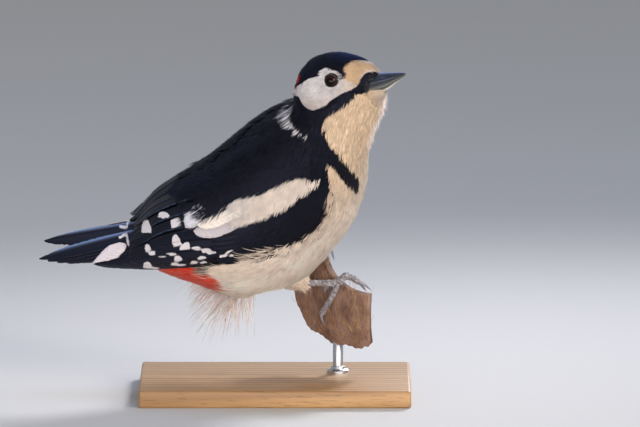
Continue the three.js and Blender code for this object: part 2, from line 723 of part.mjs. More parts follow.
// Flesh, parted where the neck and the rump begin.
const perch = perchSolid();
const perchClear = perchSolid(GAP);
const inBird = (body) => moved(body, birdMatrix.clone().invert());
const flesh = fleshSolid().subtract(inBird(perchClear));
const [lower, neckRaw] = part(flesh, vec(46, 0, 50), vec(0.62, 0, 0.785).normalize());
const [rump, torsoRaw] = part(lower, vec(-44, 0, -20), vec(0.97, 0, 0.24).normalize());
const thighs = { right: thighSolid('right'), left: thighSolid('left') };
const torso = largest(join([torsoRaw, ...lockSolids().map((lock) => lock.subtract(rump))]));
const neck = largest(neckRaw.subtract(moved(headCore(GAP), headMatrix)));
add(bird, 'torso', torso, 'cream');
add(bird, 'rump', rump, 'black');
add(bird, 'neck', neck, 'cream');

const fleshClear = fleshSolid(GAP);
const bodyClear = moved(fleshClear, birdMatrix);
const midCut = (side) => solid(new THREE.BoxGeometry(400, 60, 300),
  new THREE.Matrix4().makeTranslation(0, -side * (30 - GAP / 2), 0));
for (const [side, label] of [[-1, 'right'], [1, 'left']]) {
  const wing = largest(wingSolid(side).add(scapularSolid(side)).subtract(fleshClear).subtract(midCut(side)));
  add(bird, `wing_${label}`, wing, 'black');
  const thigh = thighs[label].subtract(fleshClear).subtract(inBird(perchClear));
  add(bird, `thigh_${label}`, largest(thigh), 'cream');
  const thighHole = moved(thighSolid(label, GAP), birdMatrix);
  const leg = legSolid(label).subtract(thighHole).subtract(perchClear).subtract(bodyClear);
  add(group, `leg_${label}`, largest(leg), 'skin');
  for (const [toe, places] of Object.entries(TOES)) {
    add(group, `claw_${toe}_${label}`, largest(clawSolid(label, places).subtract(perchClear)), 'slate');
  }
}

const tail = largest(tailSolid().subtract(fleshClear));
add(bird, 'tail', tail, 'black');

add(headGroup, 'head', headSolid(), 'white');
for (const [side, label] of [[-1, 'right'], [1, 'left']]) {
  add(headGroup, `eye_${label}`, sphere(EYE.radius, EYE.x, side * EYE.y, EYE.z, 14), 'eye');
}
add(headGroup, 'bill_upper', largest(upperBill()), 'slate');
add(headGroup, 'bill_lower', billHalf(false), 'slate');

add(group, 'perch_shell', perch, 'shell');

// Display stand: a bevelled board and a rod whose slotted top holds the shell's edge.
const half = [BASE.length / 2, BASE.depth / 2];
const boardRing = (inset, z) => [[-1, -1], [1, -1], [1, 1], [-1, 1]]
  .map(([i, j]) => vec(i * (half[0] - inset), j * (half[1] - inset), z));
const board = ringSolid([boardRing(0, 0), boardRing(0, BASE.height - BASE.bevel),
  boardRing(BASE.bevel, BASE.height)]);
add(group, 'stand_base', board, 'wood');

const foot = shellPoint(ROD.turn, SHELL.hole + SHELL.reach - 1.5, SHELL.radius - SHELL.thick / 2);
const rodHeight = foot.z + ROD.overlap - BASE.height - GAP;
const rodShape = new THREE.CylinderGeometry(ROD.radius, ROD.radius, rodHeight, 20);
rodShape.rotateX(Math.PI / 2);
rodShape.translate(foot.x, foot.y, BASE.height + GAP + rodHeight / 2);
add(group, 'stand_rod', largest(solid(rodShape).subtract(perchClear)), 'steel', 0.9);

export default group;
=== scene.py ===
"""Great spotted woodpecker: the looks of a life-size still model, built round its packed solids.

Run as a script inside Blender. Sizes in the tables are millimetres in the bird's own frame,
which leans over by BODY_ROLL and stands at BIRD_PLACE in the row frame.
"""

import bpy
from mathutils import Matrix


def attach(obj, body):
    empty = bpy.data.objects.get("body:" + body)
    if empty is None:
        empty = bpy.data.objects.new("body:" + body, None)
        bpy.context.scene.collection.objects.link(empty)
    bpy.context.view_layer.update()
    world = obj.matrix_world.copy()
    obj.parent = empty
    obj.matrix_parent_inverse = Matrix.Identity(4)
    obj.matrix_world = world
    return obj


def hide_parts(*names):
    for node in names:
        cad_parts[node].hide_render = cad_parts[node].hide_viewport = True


bl_info = {
    "name": "Great spotted woodpecker",
    "version": (1, 0, 0),
    "blender": (4, 5, 0),
    "location": "3D View > Sidebar > Woodpecker",
    "description": "Skin, plumage, bill, feet, perch and stand of a still museum model",
    "category": "Object",
}

import math
from functools import partial

import bpy
import numpy as np
from mathutils import Vector, noise

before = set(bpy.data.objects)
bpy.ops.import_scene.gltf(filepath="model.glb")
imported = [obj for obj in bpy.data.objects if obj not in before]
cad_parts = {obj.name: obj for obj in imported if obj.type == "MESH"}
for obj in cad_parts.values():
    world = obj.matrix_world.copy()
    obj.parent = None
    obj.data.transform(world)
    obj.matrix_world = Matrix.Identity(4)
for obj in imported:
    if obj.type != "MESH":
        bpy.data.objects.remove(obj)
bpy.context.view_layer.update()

MM = 0.001
KERATIN_IOR = 1.54

# ------------------------------------------------------------------ sizes of the bird's form

BODY_ROLL = 30.0
BIRD_PLACE = (-14.4, -8.0, 110.9)
CAMERA_RISE = 8.0                   # degrees that the camera looks down
CAMERA_AIM = (25.85, -8.7, 106.1)
VIEW_TILT = math.radians(BODY_ROLL + CAMERA_RISE)       # between the view and the leaning body

# Stations from the wing tips to the top of the neck: x, z, lean, half height, half width
BODY = np.array([
    (-92.0, -34.0, 16.0, 7.0, 12.0), (-77.0, -31.5, 11.0, 9.0, 15.5),
    (-65.3, -28.1, 10.0, 12.5, 20.0), (-49.2, -23.3, 13.2, 25.0, 25.5),
    (-32.2, -19.7, 14.5, 34.3, 31.5), (-15.5, -17.9, 15.0, 43.0, 36.6),
    (0.6, -10.2, 17.4, 48.2, 39.6), (14.6, 0.9, 18.8, 50.4, 40.0),
    (29.0, 16.9, 25.3, 46.1, 36.8), (40.1, 30.9, 30.3, 40.9, 32.6),
    (45.8, 45.0, 38.8, 33.7, 27.4), (47.1, 57.6, 51.3, 26.8, 22.2),
    (48.9, 67.5, 66.8, 24.7, 19.4), (52.0, 76.8, 74.0, 24.8, 17.0),
    (53.0, 85.4, 78.0, 23.6, 14.4), (51.0, 92.0, 80.0, 16.0, 9.0),
])
RUMP_START, NECK_START, NECK_TOP = 1.9, 10.2, 14.8

HEAD_PLACE = np.array((48.6, 0.0, 92.6))
HEAD_ROLL, HEAD_PITCH, HEAD_YAW = 6.0, -14.0, -12.0
# Head stations from nape to chin: x, top, bottom, half width
HEAD = np.array([
    (-21.8, -0.6, -7.4, 4.0), (-20.2, 3.2, -10.8, 8.6), (-16.9, 7.4, -14.6, 12.2),
    (-12.0, 11.4, -18.0, 14.4), (-6.0, 13.4, -20.2, 14.0), (0.0, 14.0, -20.8, 12.5),
    (6.0, 13.2, -20.4, 11.1), (11.5, 11.0, -20.6, 10.0), (16.5, 8.2, -20.6, 8.2),
    (20.8, 5.0, -20.0, 6.2), (24.0, 1.4, -18.8, 4.6), (26.2, -3.4, -17.6, 3.2),
])
EYE_PLACE = np.array((-0.2, 9.4, -0.05))
EYE_RADIUS = 4.7
# Bill stations: x, culmen, mouth line, keel of the lower mandible, half width
BILL = np.array([
    (15.0, -2.8, -9.0, -14.6, 6.0), (20.0, -3.2, -9.1, -14.4, 5.2),
    (25.0, -4.0, -9.2, -13.9, 4.3), (30.0, -5.2, -9.3, -13.1, 3.2),
    (34.6, -6.6, -9.2, -11.6, 2.1), (38.2, -7.7, -8.9, -10.0, 1.1),
    (39.8, -8.2, -8.7, -9.1, 0.5),
])

# Lower and upper edge of the folded wing, and how far the flesh lies under it
WING_LOW = ((1.6, 112), (2.5, 100), (3.9, 92), (4.9, 84), (5.8, 80), (7.0, 90), (7.8, 103),
            (8.6, 110), (9.1, 108), (9.45, 98))
WING_TOP = ((1.6, 4), (5.2, 5), (6.4, 34), (7.6, 52), (8.6, 63), (9.1, 74), (9.45, 90))
TUCK_TOP = ((1.6, 0), (2.3, 0.6), (3, 1), (4, 0.8), (5, 0.3), (6, 0))
TUCK_SIDE = ((1.6, 7), (2.3, 6.5), (3, 5.5), (4, 3), (5, 1), (6, 0))
TUCK_LOW = ((1.7, 12), (2.1, 7), (2.6, 2.5), (3, 1), (4, 0))
SADDLE_DEPTH = 3.6
# How much further down than the wing's solid edge the dark coverts show
BARE_EDGE = ((4.4, 0), (5.0, 1), (6.0, 4), (6.7, 2), (7.4, 0))
WING_FRONT = 9.45

# Flight feathers: root station, root turn, tip station, tip turn, inner web, outer web
TERTIALS = ((5.6, 20, 2.05, 8, 5.2, 5.6), (5.7, 31, 1.95, 22, 5.2, 5.4),
            (5.8, 42, 1.85, 36, 5.0, 5.2))
SECONDARIES = ((5.9, 53, 1.75, 50, 4.8, 5.0), (6.0, 63, 1.7, 63, 4.6, 4.8),
               (6.0, 72, 1.75, 76, 4.4, 4.6))
PRIMARIES = ((5.6, 70, 1.0, 74, 4.2, 3.4), (5.7, 75, 0.62, 84, 4.0, 3.2),
             (5.8, 77, 0.3, 92, 3.8, 3.0), (5.9, 78, 0.1, 101, 3.6, 2.6),
             (6.0, 78, 0.35, 108, 3.4, 1.7))
COVERTS = {"count": 9, "root": 6.75, "tip": 4.9, "from": 52, "to": 82, "width": 4.0}
PATCH_TOP = ((4.1, 40), (4.6, 42), (6.1, 43), (6.75, 49), (7.58, 56), (8.65, 66), (9.35, 84))
PATCH_LOW = ((4.1, 48), (4.81, 60), (6.4, 64), (7.61, 74), (8.15, 77), (8.9, 84), (9.35, 90))

TAIL = {"length": 68.0, "start": -56.0, "rise": -14.6, "slope": -12.0, "pairs": 5,
        "droop": 13.0, "width": 11.5}
TAIL_SHARES = (1.0, 0.93, 0.85, 0.76, 0.64)
TAIL_WIDTHS = (1.0, 0.95, 0.9, 0.82, 0.7)

SHELL = {"radius": 79.0, "thick": 4.5, "centre": (88.0, 64.6, 54.3), "hole": 31.6, "reach": 30.0}
SHELL_AXIS = np.array((-0.336, -0.75, 0.571))
GRIP = {"right": -121.0, "left": -172.0}
HEEL = {"right": (30.0, -14.0, -46.2), "left": (25.0, 16.0, -47.5)}
HIP = {"right": (19.0, -17.0, -30.0), "left": (13.0, 18.0, -33.0)}
THIGH_RADII = (9.5, 10.0, 8.6, 6.0, 3.0)
TOES = {
    "inner": ((1.5, 3.5, 2.6), (7, 6.6, 1.4), (13, 5.6, -2.6), (17, 3.2, -5.4), (20, 0.4, -7.2)),
    "middle": ((2, 2.2, 3.0), (5, 7.2, 2.6), (14, 6.6, -0.6), (20, 5.0, -3.4), (26, 1.6, -6.6)),
    "outer": ((0, -4, 2.1), (-1, -11, 1.9), (-3.6, -21.5, 1.8), (-3.4, -25.5, 2.3),
              (0.4, -29.2, 0.7)),
    "hind": ((-3, -2.2, 2.0), (-6.5, -4.2, 1.9), (-8.5, -7.4, 1.7), (-8.6, -9.6, 1.6),
             (-7.6, -11.8, 0.6)),
}
SIDES = ((-1.0, "right"), (1.0, "left"))
BASE = {"length": 156.0, "depth": 108.0, "height": 10.0, "bevel": 1.5}
ROD = {"radius": 3.0, "turn": -114.0, "overlap": 8.0}
FLOOR_HALF = 9.0                    # metres
UNMARKED = -3.0                     # a vane's distance to white marks where it has none
# Painted highlight: the blue of a sky reflection, blended into the colour along the edges of black
# vanes
PAINTED_GLOSS = "#8FACDF"                   # shine on the edges of black vanes
FILLET_REACH = 10.0                 # how near two forms flow together
SKIN_VOXEL = 1.15
FACE_LIMIT = 199000                 # of one piece of the coat

# ------------------------------------------------------------------ outlines of the markings
# Each outline is seen square from the bird's right: distance along the body, height in the view.

CAP = [(29.0, 67.3), (29.6, 74.8), (32.7, 81.1), (37.4, 85.1), (42.0, 87.4), (48.8, 89.7),
       (56.3, 89.4), (63.0, 87.4), (67.8, 85.1), (73.6, 80.8), (71.6, 80.6), (70.7, 81.2),
       (67.8, 82.1), (62.1, 82.5), (57.8, 81.8), (54.5, 79.3), (53.0, 77.2), (54.2, 73.9),
       (53.5, 71.0), (52.1, 73.6), (49.7, 75.7), (46.3, 77.1), (42.5, 77.9), (39.7, 76.0),
       (38.5, 74.6), (39.0, 73.2), (34.4, 71.5), (31.0, 70.0)]
CHEEK = [(31.0, 70.0), (34.4, 71.5), (39.0, 73.2), (38.5, 74.6), (39.7, 76.0), (42.5, 77.9),
         (46.3, 77.1), (49.7, 75.7), (52.1, 73.6), (53.5, 71.0), (57.5, 69.6), (61.2, 69.6),
         (60.8, 67.2), (56.3, 64.4), (51.1, 62.0), (45.4, 58.6), (43.0, 56.0), (35.9, 53.3),
         (31.0, 53.3), (24.2, 56.2), (24.0, 61.5), (25.8, 66.2), (29.2, 68.7)]
BROW = [(53.5, 71.0), (54.2, 73.9), (53.0, 77.2), (54.5, 79.3), (57.8, 81.8), (62.1, 82.5),
        (67.8, 82.1), (70.7, 81.2), (73.6, 79.9), (74.8, 75.9), (67.4, 75.4), (64.6, 73.6),
        (62.4, 70.2), (60.8, 67.2), (57.5, 69.6)]
THROAT = [(68.4, 65.3), (66.4, 63.8), (62.1, 62.0), (59.2, 59.6), (56.3, 56.8), (53.0, 54.3),
          (48.8, 52.4), (45.9, 50.5), (44.0, 49.1), (42.0, 46.7), (41.1, 43.4), (40.7, 41.0),
          (42.5, 38.6), (43.5, 35.8), (45.3, 33.0), (43.7, 28.2), (43.7, 22.8), (44.3, 15.5),
          (45.4, 6.6), (46.0, -2.2), (42.3, -9.5), (30.5, -18.4), (14.4, -22.7), (-6.3, -25.6),
          (-18.4, -31.6), (-34.5, -34.5), (-57.5, -37.4), (-74.8, -37.4), (-74.8, -89.1),
          (103.5, -89.1), (103.5, 68.4), (77.0, 68.4)]
HOOK = [(41.4, 30.5), (45.3, 33.0), (50.6, 27.0), (56.9, 19.8), (62.8, 12.5), (61.4, 5.2),
        (56.2, 9.5), (49.6, 18.4), (43.7, 22.8), (40.2, 23.6)]
COLLAR = [(13.6, 52.6), (18.6, 60.0), (23.6, 62.0), (23.6, 54.5), (21.6, 50.4), (24.9, 43.9),
          (27.2, 41.0), (24.4, 38.2), (20.6, 41.8), (16.6, 47.2)]
NAPE = [(20.0, 65.6), (20.0, 73.6), (28.6, 73.6), (28.8, 72.0), (27.4, 68.4), (26.4, 65.6)]
VENT = [(-62.0, -33.0), (-35.0, -33.0), (-33.0, -39.0), (-28.5, -40.6), (-24.0, -39.6),
        (-20.0, -42.0), (-19.0, -48.0), (-22.0, -54.0), (-34.5, -53.0), (-48.9, -48.5),
        (-62.0, -44.5)]
GREY_PATCH_OUTLINE = [(-35.4, -33.0), (-25.5, -32.0), (-24.0, -36.2), (-28.0, -40.2), (-33.6, -39.5)]
COLLAR_DOTS = [(28.3, 40.4, 1.5), (31.8, 38.6, 1.5), (43.2, 51.2, 0.9), (27.0, 37.6, 0.8)]
PATCH = [(27.2, 14.2), (33.7, 11.0), (40.7, 11.8), (38.4, 8.9), (33.9, 6.0), (26.0, 0.6),
         (18.4, -5.2), (9.2, -8.6), (-0.3, -11.7), (-12.6, -16.1), (-23.8, -19.0),
         (-32.0, -15.2), (-37.9, -9.2), (-38.5, -1.7), (-35.1, 2.9), (-29.3, -2.9),
         (-23.8, -7.5), (-16.1, -2.3), (-8.6, 2.3), (0.8, 4.0), (6.9, 6.0), (12.5, 8.3),
         (20.1, 12.1)]
TAIL_BARS = [[(-75.9, -18.3), (-71.9, -16.0), (-71.3, -17.3), (-75.3, -19.7)],
             [(-71.6, -16.6), (-70.9, -15.8), (-69.5, -21.8), (-69.8, -24.0), (-70.9, -22.5)]]
SPOTS = [
    [(-52.8, -6.8), (-51.9, -4.1), (-50.1, -3.8), (-47.5, -4.4), (-45.9, -5.9), (-46.8, -7.4),
     (-48.4, -7.2), (-49.7, -7.9), (-50.8, -7.2)],
    [(-45.4, -9.0), (-44.0, -7.9), (-40.0, -7.0), (-39.0, -11.6), (-41.8, -12.5),
     (-44.8, -13.4)],
    [(-62.2, -16.0), (-62.2, -12.1), (-61.1, -9.0), (-59.6, -8.4), (-58.3, -9.0),
     (-57.4, -11.2), (-56.6, -13.4), (-56.6, -16.0), (-58.5, -15.8)],
    [(-44.6, -21.7), (-44.4, -18.7), (-43.3, -16.8), (-41.8, -17.1), (-40.2, -19.1),
     (-39.6, -21.3), (-38.8, -22.8), (-40.7, -23.3), (-43.5, -24.2)],
    [(-38.8, -22.8), (-37.4, -21.7), (-35.6, -21.1), (-34.6, -22.2), (-34.2, -25.3),
     (-36.5, -25.5), (-40.0, -25.9), (-40.4, -25.3), (-39.6, -23.7)],
    [(-33.8, -25.0), (-32.5, -24.0), (-29.9, -23.7), (-28.1, -24.4), (-27.9, -25.5),
     (-29.4, -26.1), (-31.2, -25.8)],
    [(-28.1, -25.3), (-25.0, -24.7), (-22.4, -25.2), (-22.0, -26.1), (-19.1, -26.8),
     (-19.2, -27.7), (-24.2, -28.5), (-24.8, -27.2), (-27.0, -27.4)],
    [(-60.3, -24.8), (-60.0, -22.8), (-59.0, -22.3), (-57.6, -23.1), (-56.7, -25.7),
     (-58.3, -26.8), (-59.8, -27.1)],
    [(-58.3, -27.4), (-57.2, -26.6), (-54.5, -26.4), (-54.4, -28.5), (-55.8, -28.9),
     (-58.0, -28.8)],
    [(-52.5, -29.4), (-48.1, -29.2), (-47.9, -29.9), (-52.3, -30.1)],
    [(-48.4, -27.9), (-44.8, -27.2), (-42.2, -27.8), (-42.1, -28.5), (-45.7, -29.3),
     (-46.2, -28.5)],
    [(-43.4, -31.0), (-42.6, -29.2), (-40.4, -29.0), (-39.3, -30.1), (-38.6, -31.6),
     (-41.3, -32.7), (-43.4, -32.4)],
    [(-45.7, -34.3), (-44.8, -33.2), (-42.2, -32.8), (-40.9, -33.8), (-36.5, -34.0),
     (-36.9, -34.7), (-39.6, -35.0), (-44.8, -34.7)],
    [(-61.6, -36.0), (-60.9, -33.2), (-58.9, -32.5), (-57.2, -33.4), (-56.3, -35.4),
     (-51.9, -36.2), (-52.8, -36.9), (-55.8, -36.7), (-61.1, -36.3)],
    [(-34.4, -33.8), (-33.4, -32.3), (-31.2, -31.8), (-29.9, -32.7), (-30.0, -33.4),
     (-34.1, -34.0)],
    [(-30.0, -30.3), (-28.1, -29.3), (-25.9, -29.3), (-24.6, -30.3), (-26.4, -31.0),
     (-29.7, -31.6)],
    [(-28.8, -32.9), (-26.4, -32.2), (-24.4, -32.5), (-24.4, -33.1), (-28.1, -33.7)],
    [(-17.3, -29.9), (-17.1, -28.8), (-13.8, -28.1), (-12.6, -28.8), (-13.2, -29.4),
     (-16.7, -30.2)],
    [(-14.0, -27.7), (-12.7, -26.4), (-9.6, -25.5), (-9.2, -25.9), (-11.4, -27.0),
     (-12.7, -28.3), (-13.8, -27.9)],
    [(-11.8, -29.0), (-10.5, -28.1), (-9.0, -28.8), (-9.2, -29.4), (-11.0, -29.6)],
]


# ------------------------------------------------------------------ numbers and turns

def linear(code):
    """sRGB hex colour as linear red, green, blue and alpha."""
    parts = [int(code[i:i + 2], 16) / 255 for i in (1, 3, 5)]
    return tuple(c / 12.92 if c <= 0.04045 else ((c + 0.055) / 1.055) ** 2.4
                 for c in parts) + (1.0,)


def rgb(code):
    return np.array(linear(code)[:3])


def smoothstep(low, high, value):
    t = np.clip((value - low) / (high - low), 0.0, 1.0)
    return t * t * (3 - 2 * t)


def along(pairs, at):
    """Piecewise-linear reading of (at, value) pairs."""
    return np.interp(at, [p[0] for p in pairs], [p[1] for p in pairs])


def read_rows(table, at):
    """Catmull-Rom reading of a table's rows at real row numbers."""
    table = np.asarray(table, float)
    at = np.asarray(at, float)
    rows = np.vstack([2 * table[0] - table[1], table, 2 * table[-1] - table[-2],
                      3 * table[-1] - 2 * table[-2]])
    i = np.clip(np.floor(at).astype(int), 0, len(table) - 2)
    f = (at - i)[..., None]
    a, b, c, d = rows[i], rows[i + 1], rows[i + 2], rows[i + 3]
    return 0.5 * (2 * b + (c - a) * f + (2 * a - 5 * b + 4 * c - d) * f ** 2
                  + (3 * b - a - 3 * c + d) * f ** 3)


def turn_matrix(axis, degrees):
    c, s = math.cos(math.radians(degrees)), math.sin(math.radians(degrees))
    return np.array({"X": ((1, 0, 0), (0, c, -s), (0, s, c)),
                     "Y": ((c, 0, s), (0, 1, 0), (-s, 0, c)),
                     "Z": ((c, -s, 0), (s, c, 0), (0, 0, 1))}[axis], float)


def unit(v):
    return v / np.maximum(np.linalg.norm(v, axis=-1, keepdims=True), 1e-9)


def dot(a, b):
    return (a * b).sum(-1, keepdims=True)


BIRD_TURN = turn_matrix("X", BODY_ROLL)
HEAD_TURN = (turn_matrix("X", -BODY_ROLL) @ turn_matrix("Z", HEAD_YAW)
             @ turn_matrix("Y", HEAD_PITCH) @ turn_matrix("X", HEAD_ROLL))


def bird_to_row(p):
    """Bird's frame in millimetres to the row frame in metres."""
    return (np.asarray(p, float) @ BIRD_TURN.T + np.array(BIRD_PLACE)) * MM


def row_to_bird(p):
    return (np.asarray(p, float) - np.array(BIRD_PLACE)) @ BIRD_TURN


def head_to_bird(p):
    return np.asarray(p, float) @ HEAD_TURN.T + HEAD_PLACE


def bird_to_head(p):
    return (np.asarray(p, float) - HEAD_PLACE) @ HEAD_TURN


def seen(p):
    """Where a point of the bird's frame shows in the view from its right."""
    return np.stack([p[..., 0], p[..., 1] * math.sin(VIEW_TILT)
                     + p[..., 2] * math.cos(VIEW_TILT)], -1)


def mirrored(p):
    """The same point on the right side, where the left side has it."""
    return np.stack([p[..., 0], -np.abs(p[..., 1]), p[..., 2]], -1)


def side_view(p):
    """Where a point shows from its own side of the body."""
    return seen(mirrored(p))


def head_side_view(p):
    """The same for a point of the head, mirrored in the head's own middle."""
    return seen(head_to_bird(mirrored(bird_to_head(p))))


def within(outline, at):
    """Which of the points lie inside an outline."""
    x, h = at[..., 0], at[..., 1]
    odd = np.zeros(x.shape, bool)
    for (x0, h0), (x1, h1) in zip(outline, outline[1:] + outline[:1]):
        if h0 == h1:
            continue
        crosses = (h0 > h) != (h1 > h)
        odd ^= crosses & (x < (x1 - x0) * (h - h0) / (h1 - h0) + x0)
    return odd


def depth_within(outline, at):
    """Distance to an outline's edge: positive inside it, negative outside."""
    best = np.full(at.shape[:-1], 1e9)
    for start, end in zip(outline, outline[1:] + outline[:1]):
        start, end = np.array(start), np.array(end)
        run = end - start
        t = np.clip(((at - start) @ run) / max(run @ run, 1e-9), 0, 1)
        best = np.minimum(best, np.linalg.norm(at - start - t[..., None] * run, axis=-1))
    return np.where(within(outline, at), best, -best)


# ------------------------------------------------------------------ surfaces of the bird
# Each takes a station, a turn (0 on the back, 180 underneath), a side (-1 right) and a lift.

def body_surface(s, phi, side, lift=0.0):
    x, z, lean, high, wide = np.moveaxis(read_rows(BODY, s), -1, 0)
    lean, turn = np.radians(lean), np.radians(phi)
    if np.max(s) > NECK_START:
        gap = head_gap(bare_body(x, z, lean, high, wide, turn, side, s))
        lift = lift + fillet(gap, s > NECK_START)
    return bare_body(x, z, lean, high + lift, wide + lift, turn, side, s)


def neck_twist(s):
    """How far the neck has turned with the head at its stations."""
    return np.radians((HEAD_ROLL - BODY_ROLL) * smoothstep(9.8, 13.4, s))


def bare_body(x, z, lean, high, wide, turn, side, s):
    up, out = high * np.cos(turn), side * wide * np.sin(turn)
    twist = neck_twist(s)
    rise = np.cos(lean) * up
    return np.stack([x - np.sin(lean) * up, out * np.cos(twist) - rise * np.sin(twist),
                     z + rise * np.cos(twist) + out * np.sin(twist)], -1)


def fillet(gap, where=True):
    """How far a surface swells near another so that the two flow together."""
    left = FILLET_REACH - np.abs(gap)
    return np.where(where & (left > 0), left ** 2 / (4 * FILLET_REACH), 0.0)


def head_gap(p):
    """Distance from the head's plain form, negative inside it."""
    own = bird_to_head(p)
    x = own[..., 0]
    top, bottom, wide = (np.interp(x, HEAD[:, 0], HEAD[:, k]) for k in (1, 2, 3))
    up, out = own[..., 2] - (top + bottom) / 2, own[..., 1]
    r = np.sqrt((up / ((top - bottom) / 2)) ** 2 + (out / wide) ** 2)
    round_it = np.hypot(up, out) * (1 - 1 / np.maximum(r, 0.05))
    ends = np.maximum(HEAD[0, 0] - x, x - HEAD[-1, 0])
    return np.where(ends > 0, np.hypot(np.maximum(round_it, 0), ends), round_it)


def neck_rows():
    at = np.arange(9.0, NECK_TOP + 0.35, 0.15)
    x, z, lean, high, wide = np.moveaxis(read_rows(BODY, at), -1, 0)
    lean = np.radians(lean)
    axis = np.stack([np.cos(lean), 0 * x, np.sin(lean)], -1)
    return np.stack([x, 0 * x, z], -1), axis, lean, neck_twist(at), high, wide


NECK = neck_rows()


def neck_gap(p):
    """Distance from the neck's plain form, negative inside it."""
    centre, axis, lean, twist, high, wide = NECK
    flat = p.reshape(-1, 3)
    ahead = flat @ axis.T - (centre * axis).sum(-1)
    j = np.abs(ahead).argmin(1)
    rel = flat - centre[j]
    out = rel[:, 1] * np.cos(twist[j]) + rel[:, 2] * np.sin(twist[j])
    tall = rel[:, 2] * np.cos(twist[j]) - rel[:, 1] * np.sin(twist[j])
    up = -rel[:, 0] * np.sin(lean[j]) + tall * np.cos(lean[j])
    r = np.sqrt((up / high[j]) ** 2 + (out / wide[j]) ** 2)
    gap = np.hypot(up, out) * (1 - 1 / np.maximum(r, 0.05))
    beyond = np.abs(ahead[np.arange(len(flat)), j])
    return np.where(beyond > 2.0, np.hypot(np.maximum(gap, 0), beyond), gap).reshape(p.shape[:-1])


def tuck(s, phi):
    """How far the flesh lies under the outer surface."""
    phi = np.abs(np.asarray(phi, float))
    phi = np.where(phi > 180, 360 - phi, phi)
    ends = np.where(phi < 90, along(TUCK_TOP, s), along(TUCK_LOW, s))
    top, low = along(WING_TOP, s), along(WING_LOW, s)
    saddle = np.where(s < 5.2, 1.0, smoothstep(top - 9, top + 1, phi))
    saddle = saddle * (1 - smoothstep(low - 1, low + 9, phi)) * (1 - smoothstep(9.2, 9.6, s))
    across = np.sin(np.radians(phi)) ** 2
    ends = ends + 4.6 * (np.exp(-((phi - 148) / 26) ** 2) * smoothstep(4.9, 5.8, s)
                         * (1 - smoothstep(5.9, 7.1, s)))
    return ends + (along(TUCK_SIDE, s) - ends) * across + SADDLE_DEPTH * saddle


def flesh_surface(s, phi, side, lift=0.0):
    return body_surface(s, phi, side, lift - tuck(s, phi))


def between(top, low, s, phi):
    """Share of the way from an upper edge down to a lower one."""
    top, low = along(top, s), along(low, s)
    return np.clip((phi - top) / np.maximum(low - top, 1), 0, 1)


def wing_surface(s, phi, side, lift=0.0):
    """The folded wing's outside."""
    f = between(WING_TOP, WING_LOW, s, phi)
    swell = 0.3 + 0.7 * np.sin(np.pi * f) - 1.6 * smoothstep(9.0, 9.5, s)
    return body_surface(s, phi, side, lift + swell - 1.2 * (1 - smoothstep(5.15, 5.8, s)))


def patch_surface(s, phi, side, lift=0.0):
    """Over the scapular feathers, on the upper part of the wing."""
    f = between(PATCH_TOP, PATCH_LOW, s, phi)
    middle = np.sin(np.pi * np.clip((s - 4.9) / 4.4, 0.08, 0.92))
    return body_surface(s, phi, side, lift + 1.1 + 0.7 * np.sin(np.pi * f) * middle)


def head_surface(a, phi, side, lift=0.0):
    a = np.where(a < 0.4, 0.4 + (a - 0.4) * 0.25, a)
    x, top, bottom, wide = np.moveaxis(read_rows(HEAD, a), -1, 0)
    turn = np.radians(phi)
    pinch = 1 - 0.1 * np.sin(turn) ** 2 * np.maximum(0, -np.cos(turn))

    def form(grown):
        z = (top + bottom) / 2 + ((top - bottom) / 2 + grown) * np.cos(turn)
        # Hollow at the sides, where the bill's base shows
        bare = 0.3 * smoothstep(14.5, 19.0, x) * np.exp(-((z + 9.2) / 5.2) ** 4)
        y = side * (wide + grown) * np.sin(turn) * pinch * (1 - bare)
        return head_to_bird(np.stack(np.broadcast_arrays(x, y, z), -1))

    return form(lift + fillet(neck_gap(form(0.0))))


def thigh_surface(a, phi, side, lift=0.0):
    """The feathered thigh, from the heel at 0 to the hip at 1."""
    a = np.asarray(a, float)
    turn = np.radians(phi)
    out = np.zeros(np.broadcast(a, turn, side).shape + (3,))
    for sign, label in SIDES:
        hip, heel = np.array(HIP[label]), np.array(HEEL[label])
        axis = unit(hip - heel)
        across = unit(np.cross(axis, (0.0, 1.0, 0.0)))
        up = np.cross(across, axis)
        radius = np.interp(1 - a, (0, 0.3, 0.6, 0.85, 1.04), THIGH_RADII) + lift
        centre = heel + (hip - heel) * a[..., None]
        p = (centre + across * (radius * np.cos(turn))[..., None]
             + sign * up * (radius * np.sin(turn))[..., None])
        out = np.where((np.asarray(side) == sign)[..., None], p, out)
    return out


# ------------------------------------------------------------------ plumage colours

def blend(a, b, share):
    return a + (b - a) * np.asarray(share)[..., None]


def palette():
    look = bpy.context.scene.woodpecker_plumage
    return {name: np.array(getattr(look, name)[:3]) for name in
            ("black", "white", "buff", "breast", "belly", "red", "vent", "outer_tail")}


def breast_to_belly(tones, at):
    pale = smoothstep(10, -44, at[..., 1] - 0.25 * at[..., 0])
    return blend(tones["breast"], tones["belly"], pale)


def body_colour(p, rng, fuzz):
    """Colour of the body's plumage at points of the bird's frame, and which are dark."""
    tones = palette()
    at = side_view(p) + rng.normal(0, fuzz, p.shape[:-1] + (2,))
    light = breast_to_belly(tones, at)
    colour = np.broadcast_to(tones["black"], light.shape).copy()
    below_wing = (at[..., 0] < 40) & (at[..., 1] < -18)
    breast = (within(THROAT, at) | below_wing) & ~within(HOOK, at)
    colour[breast] = light[breast]
    collar = within(COLLAR, at)
    for x, h, r in COLLAR_DOTS:
        collar |= np.hypot(at[..., 0] - x, at[..., 1] - h) < r
    colour[collar] = tones["white"]
    chance = rng.random(p.shape[:-1])
    red = chance < smoothstep(-2.0, 2.5, depth_within(VENT, at))
    flame = blend(tones["vent"], tones["breast"], 0.45 * rng.random(p.shape[:-1]) ** 3)
    colour[red] = flame[red]
    # A dark grey patch just before the red vent, inside a given outline
    grey_patch = (chance < 0.8) & within(GREY_PATCH_OUTLINE, at)
    colour[grey_patch] = blend(tones["black"], tones["belly"], 0.1 + 0.2 * chance)[grey_patch]
    return colour, ~(breast | collar | red | grey_patch)


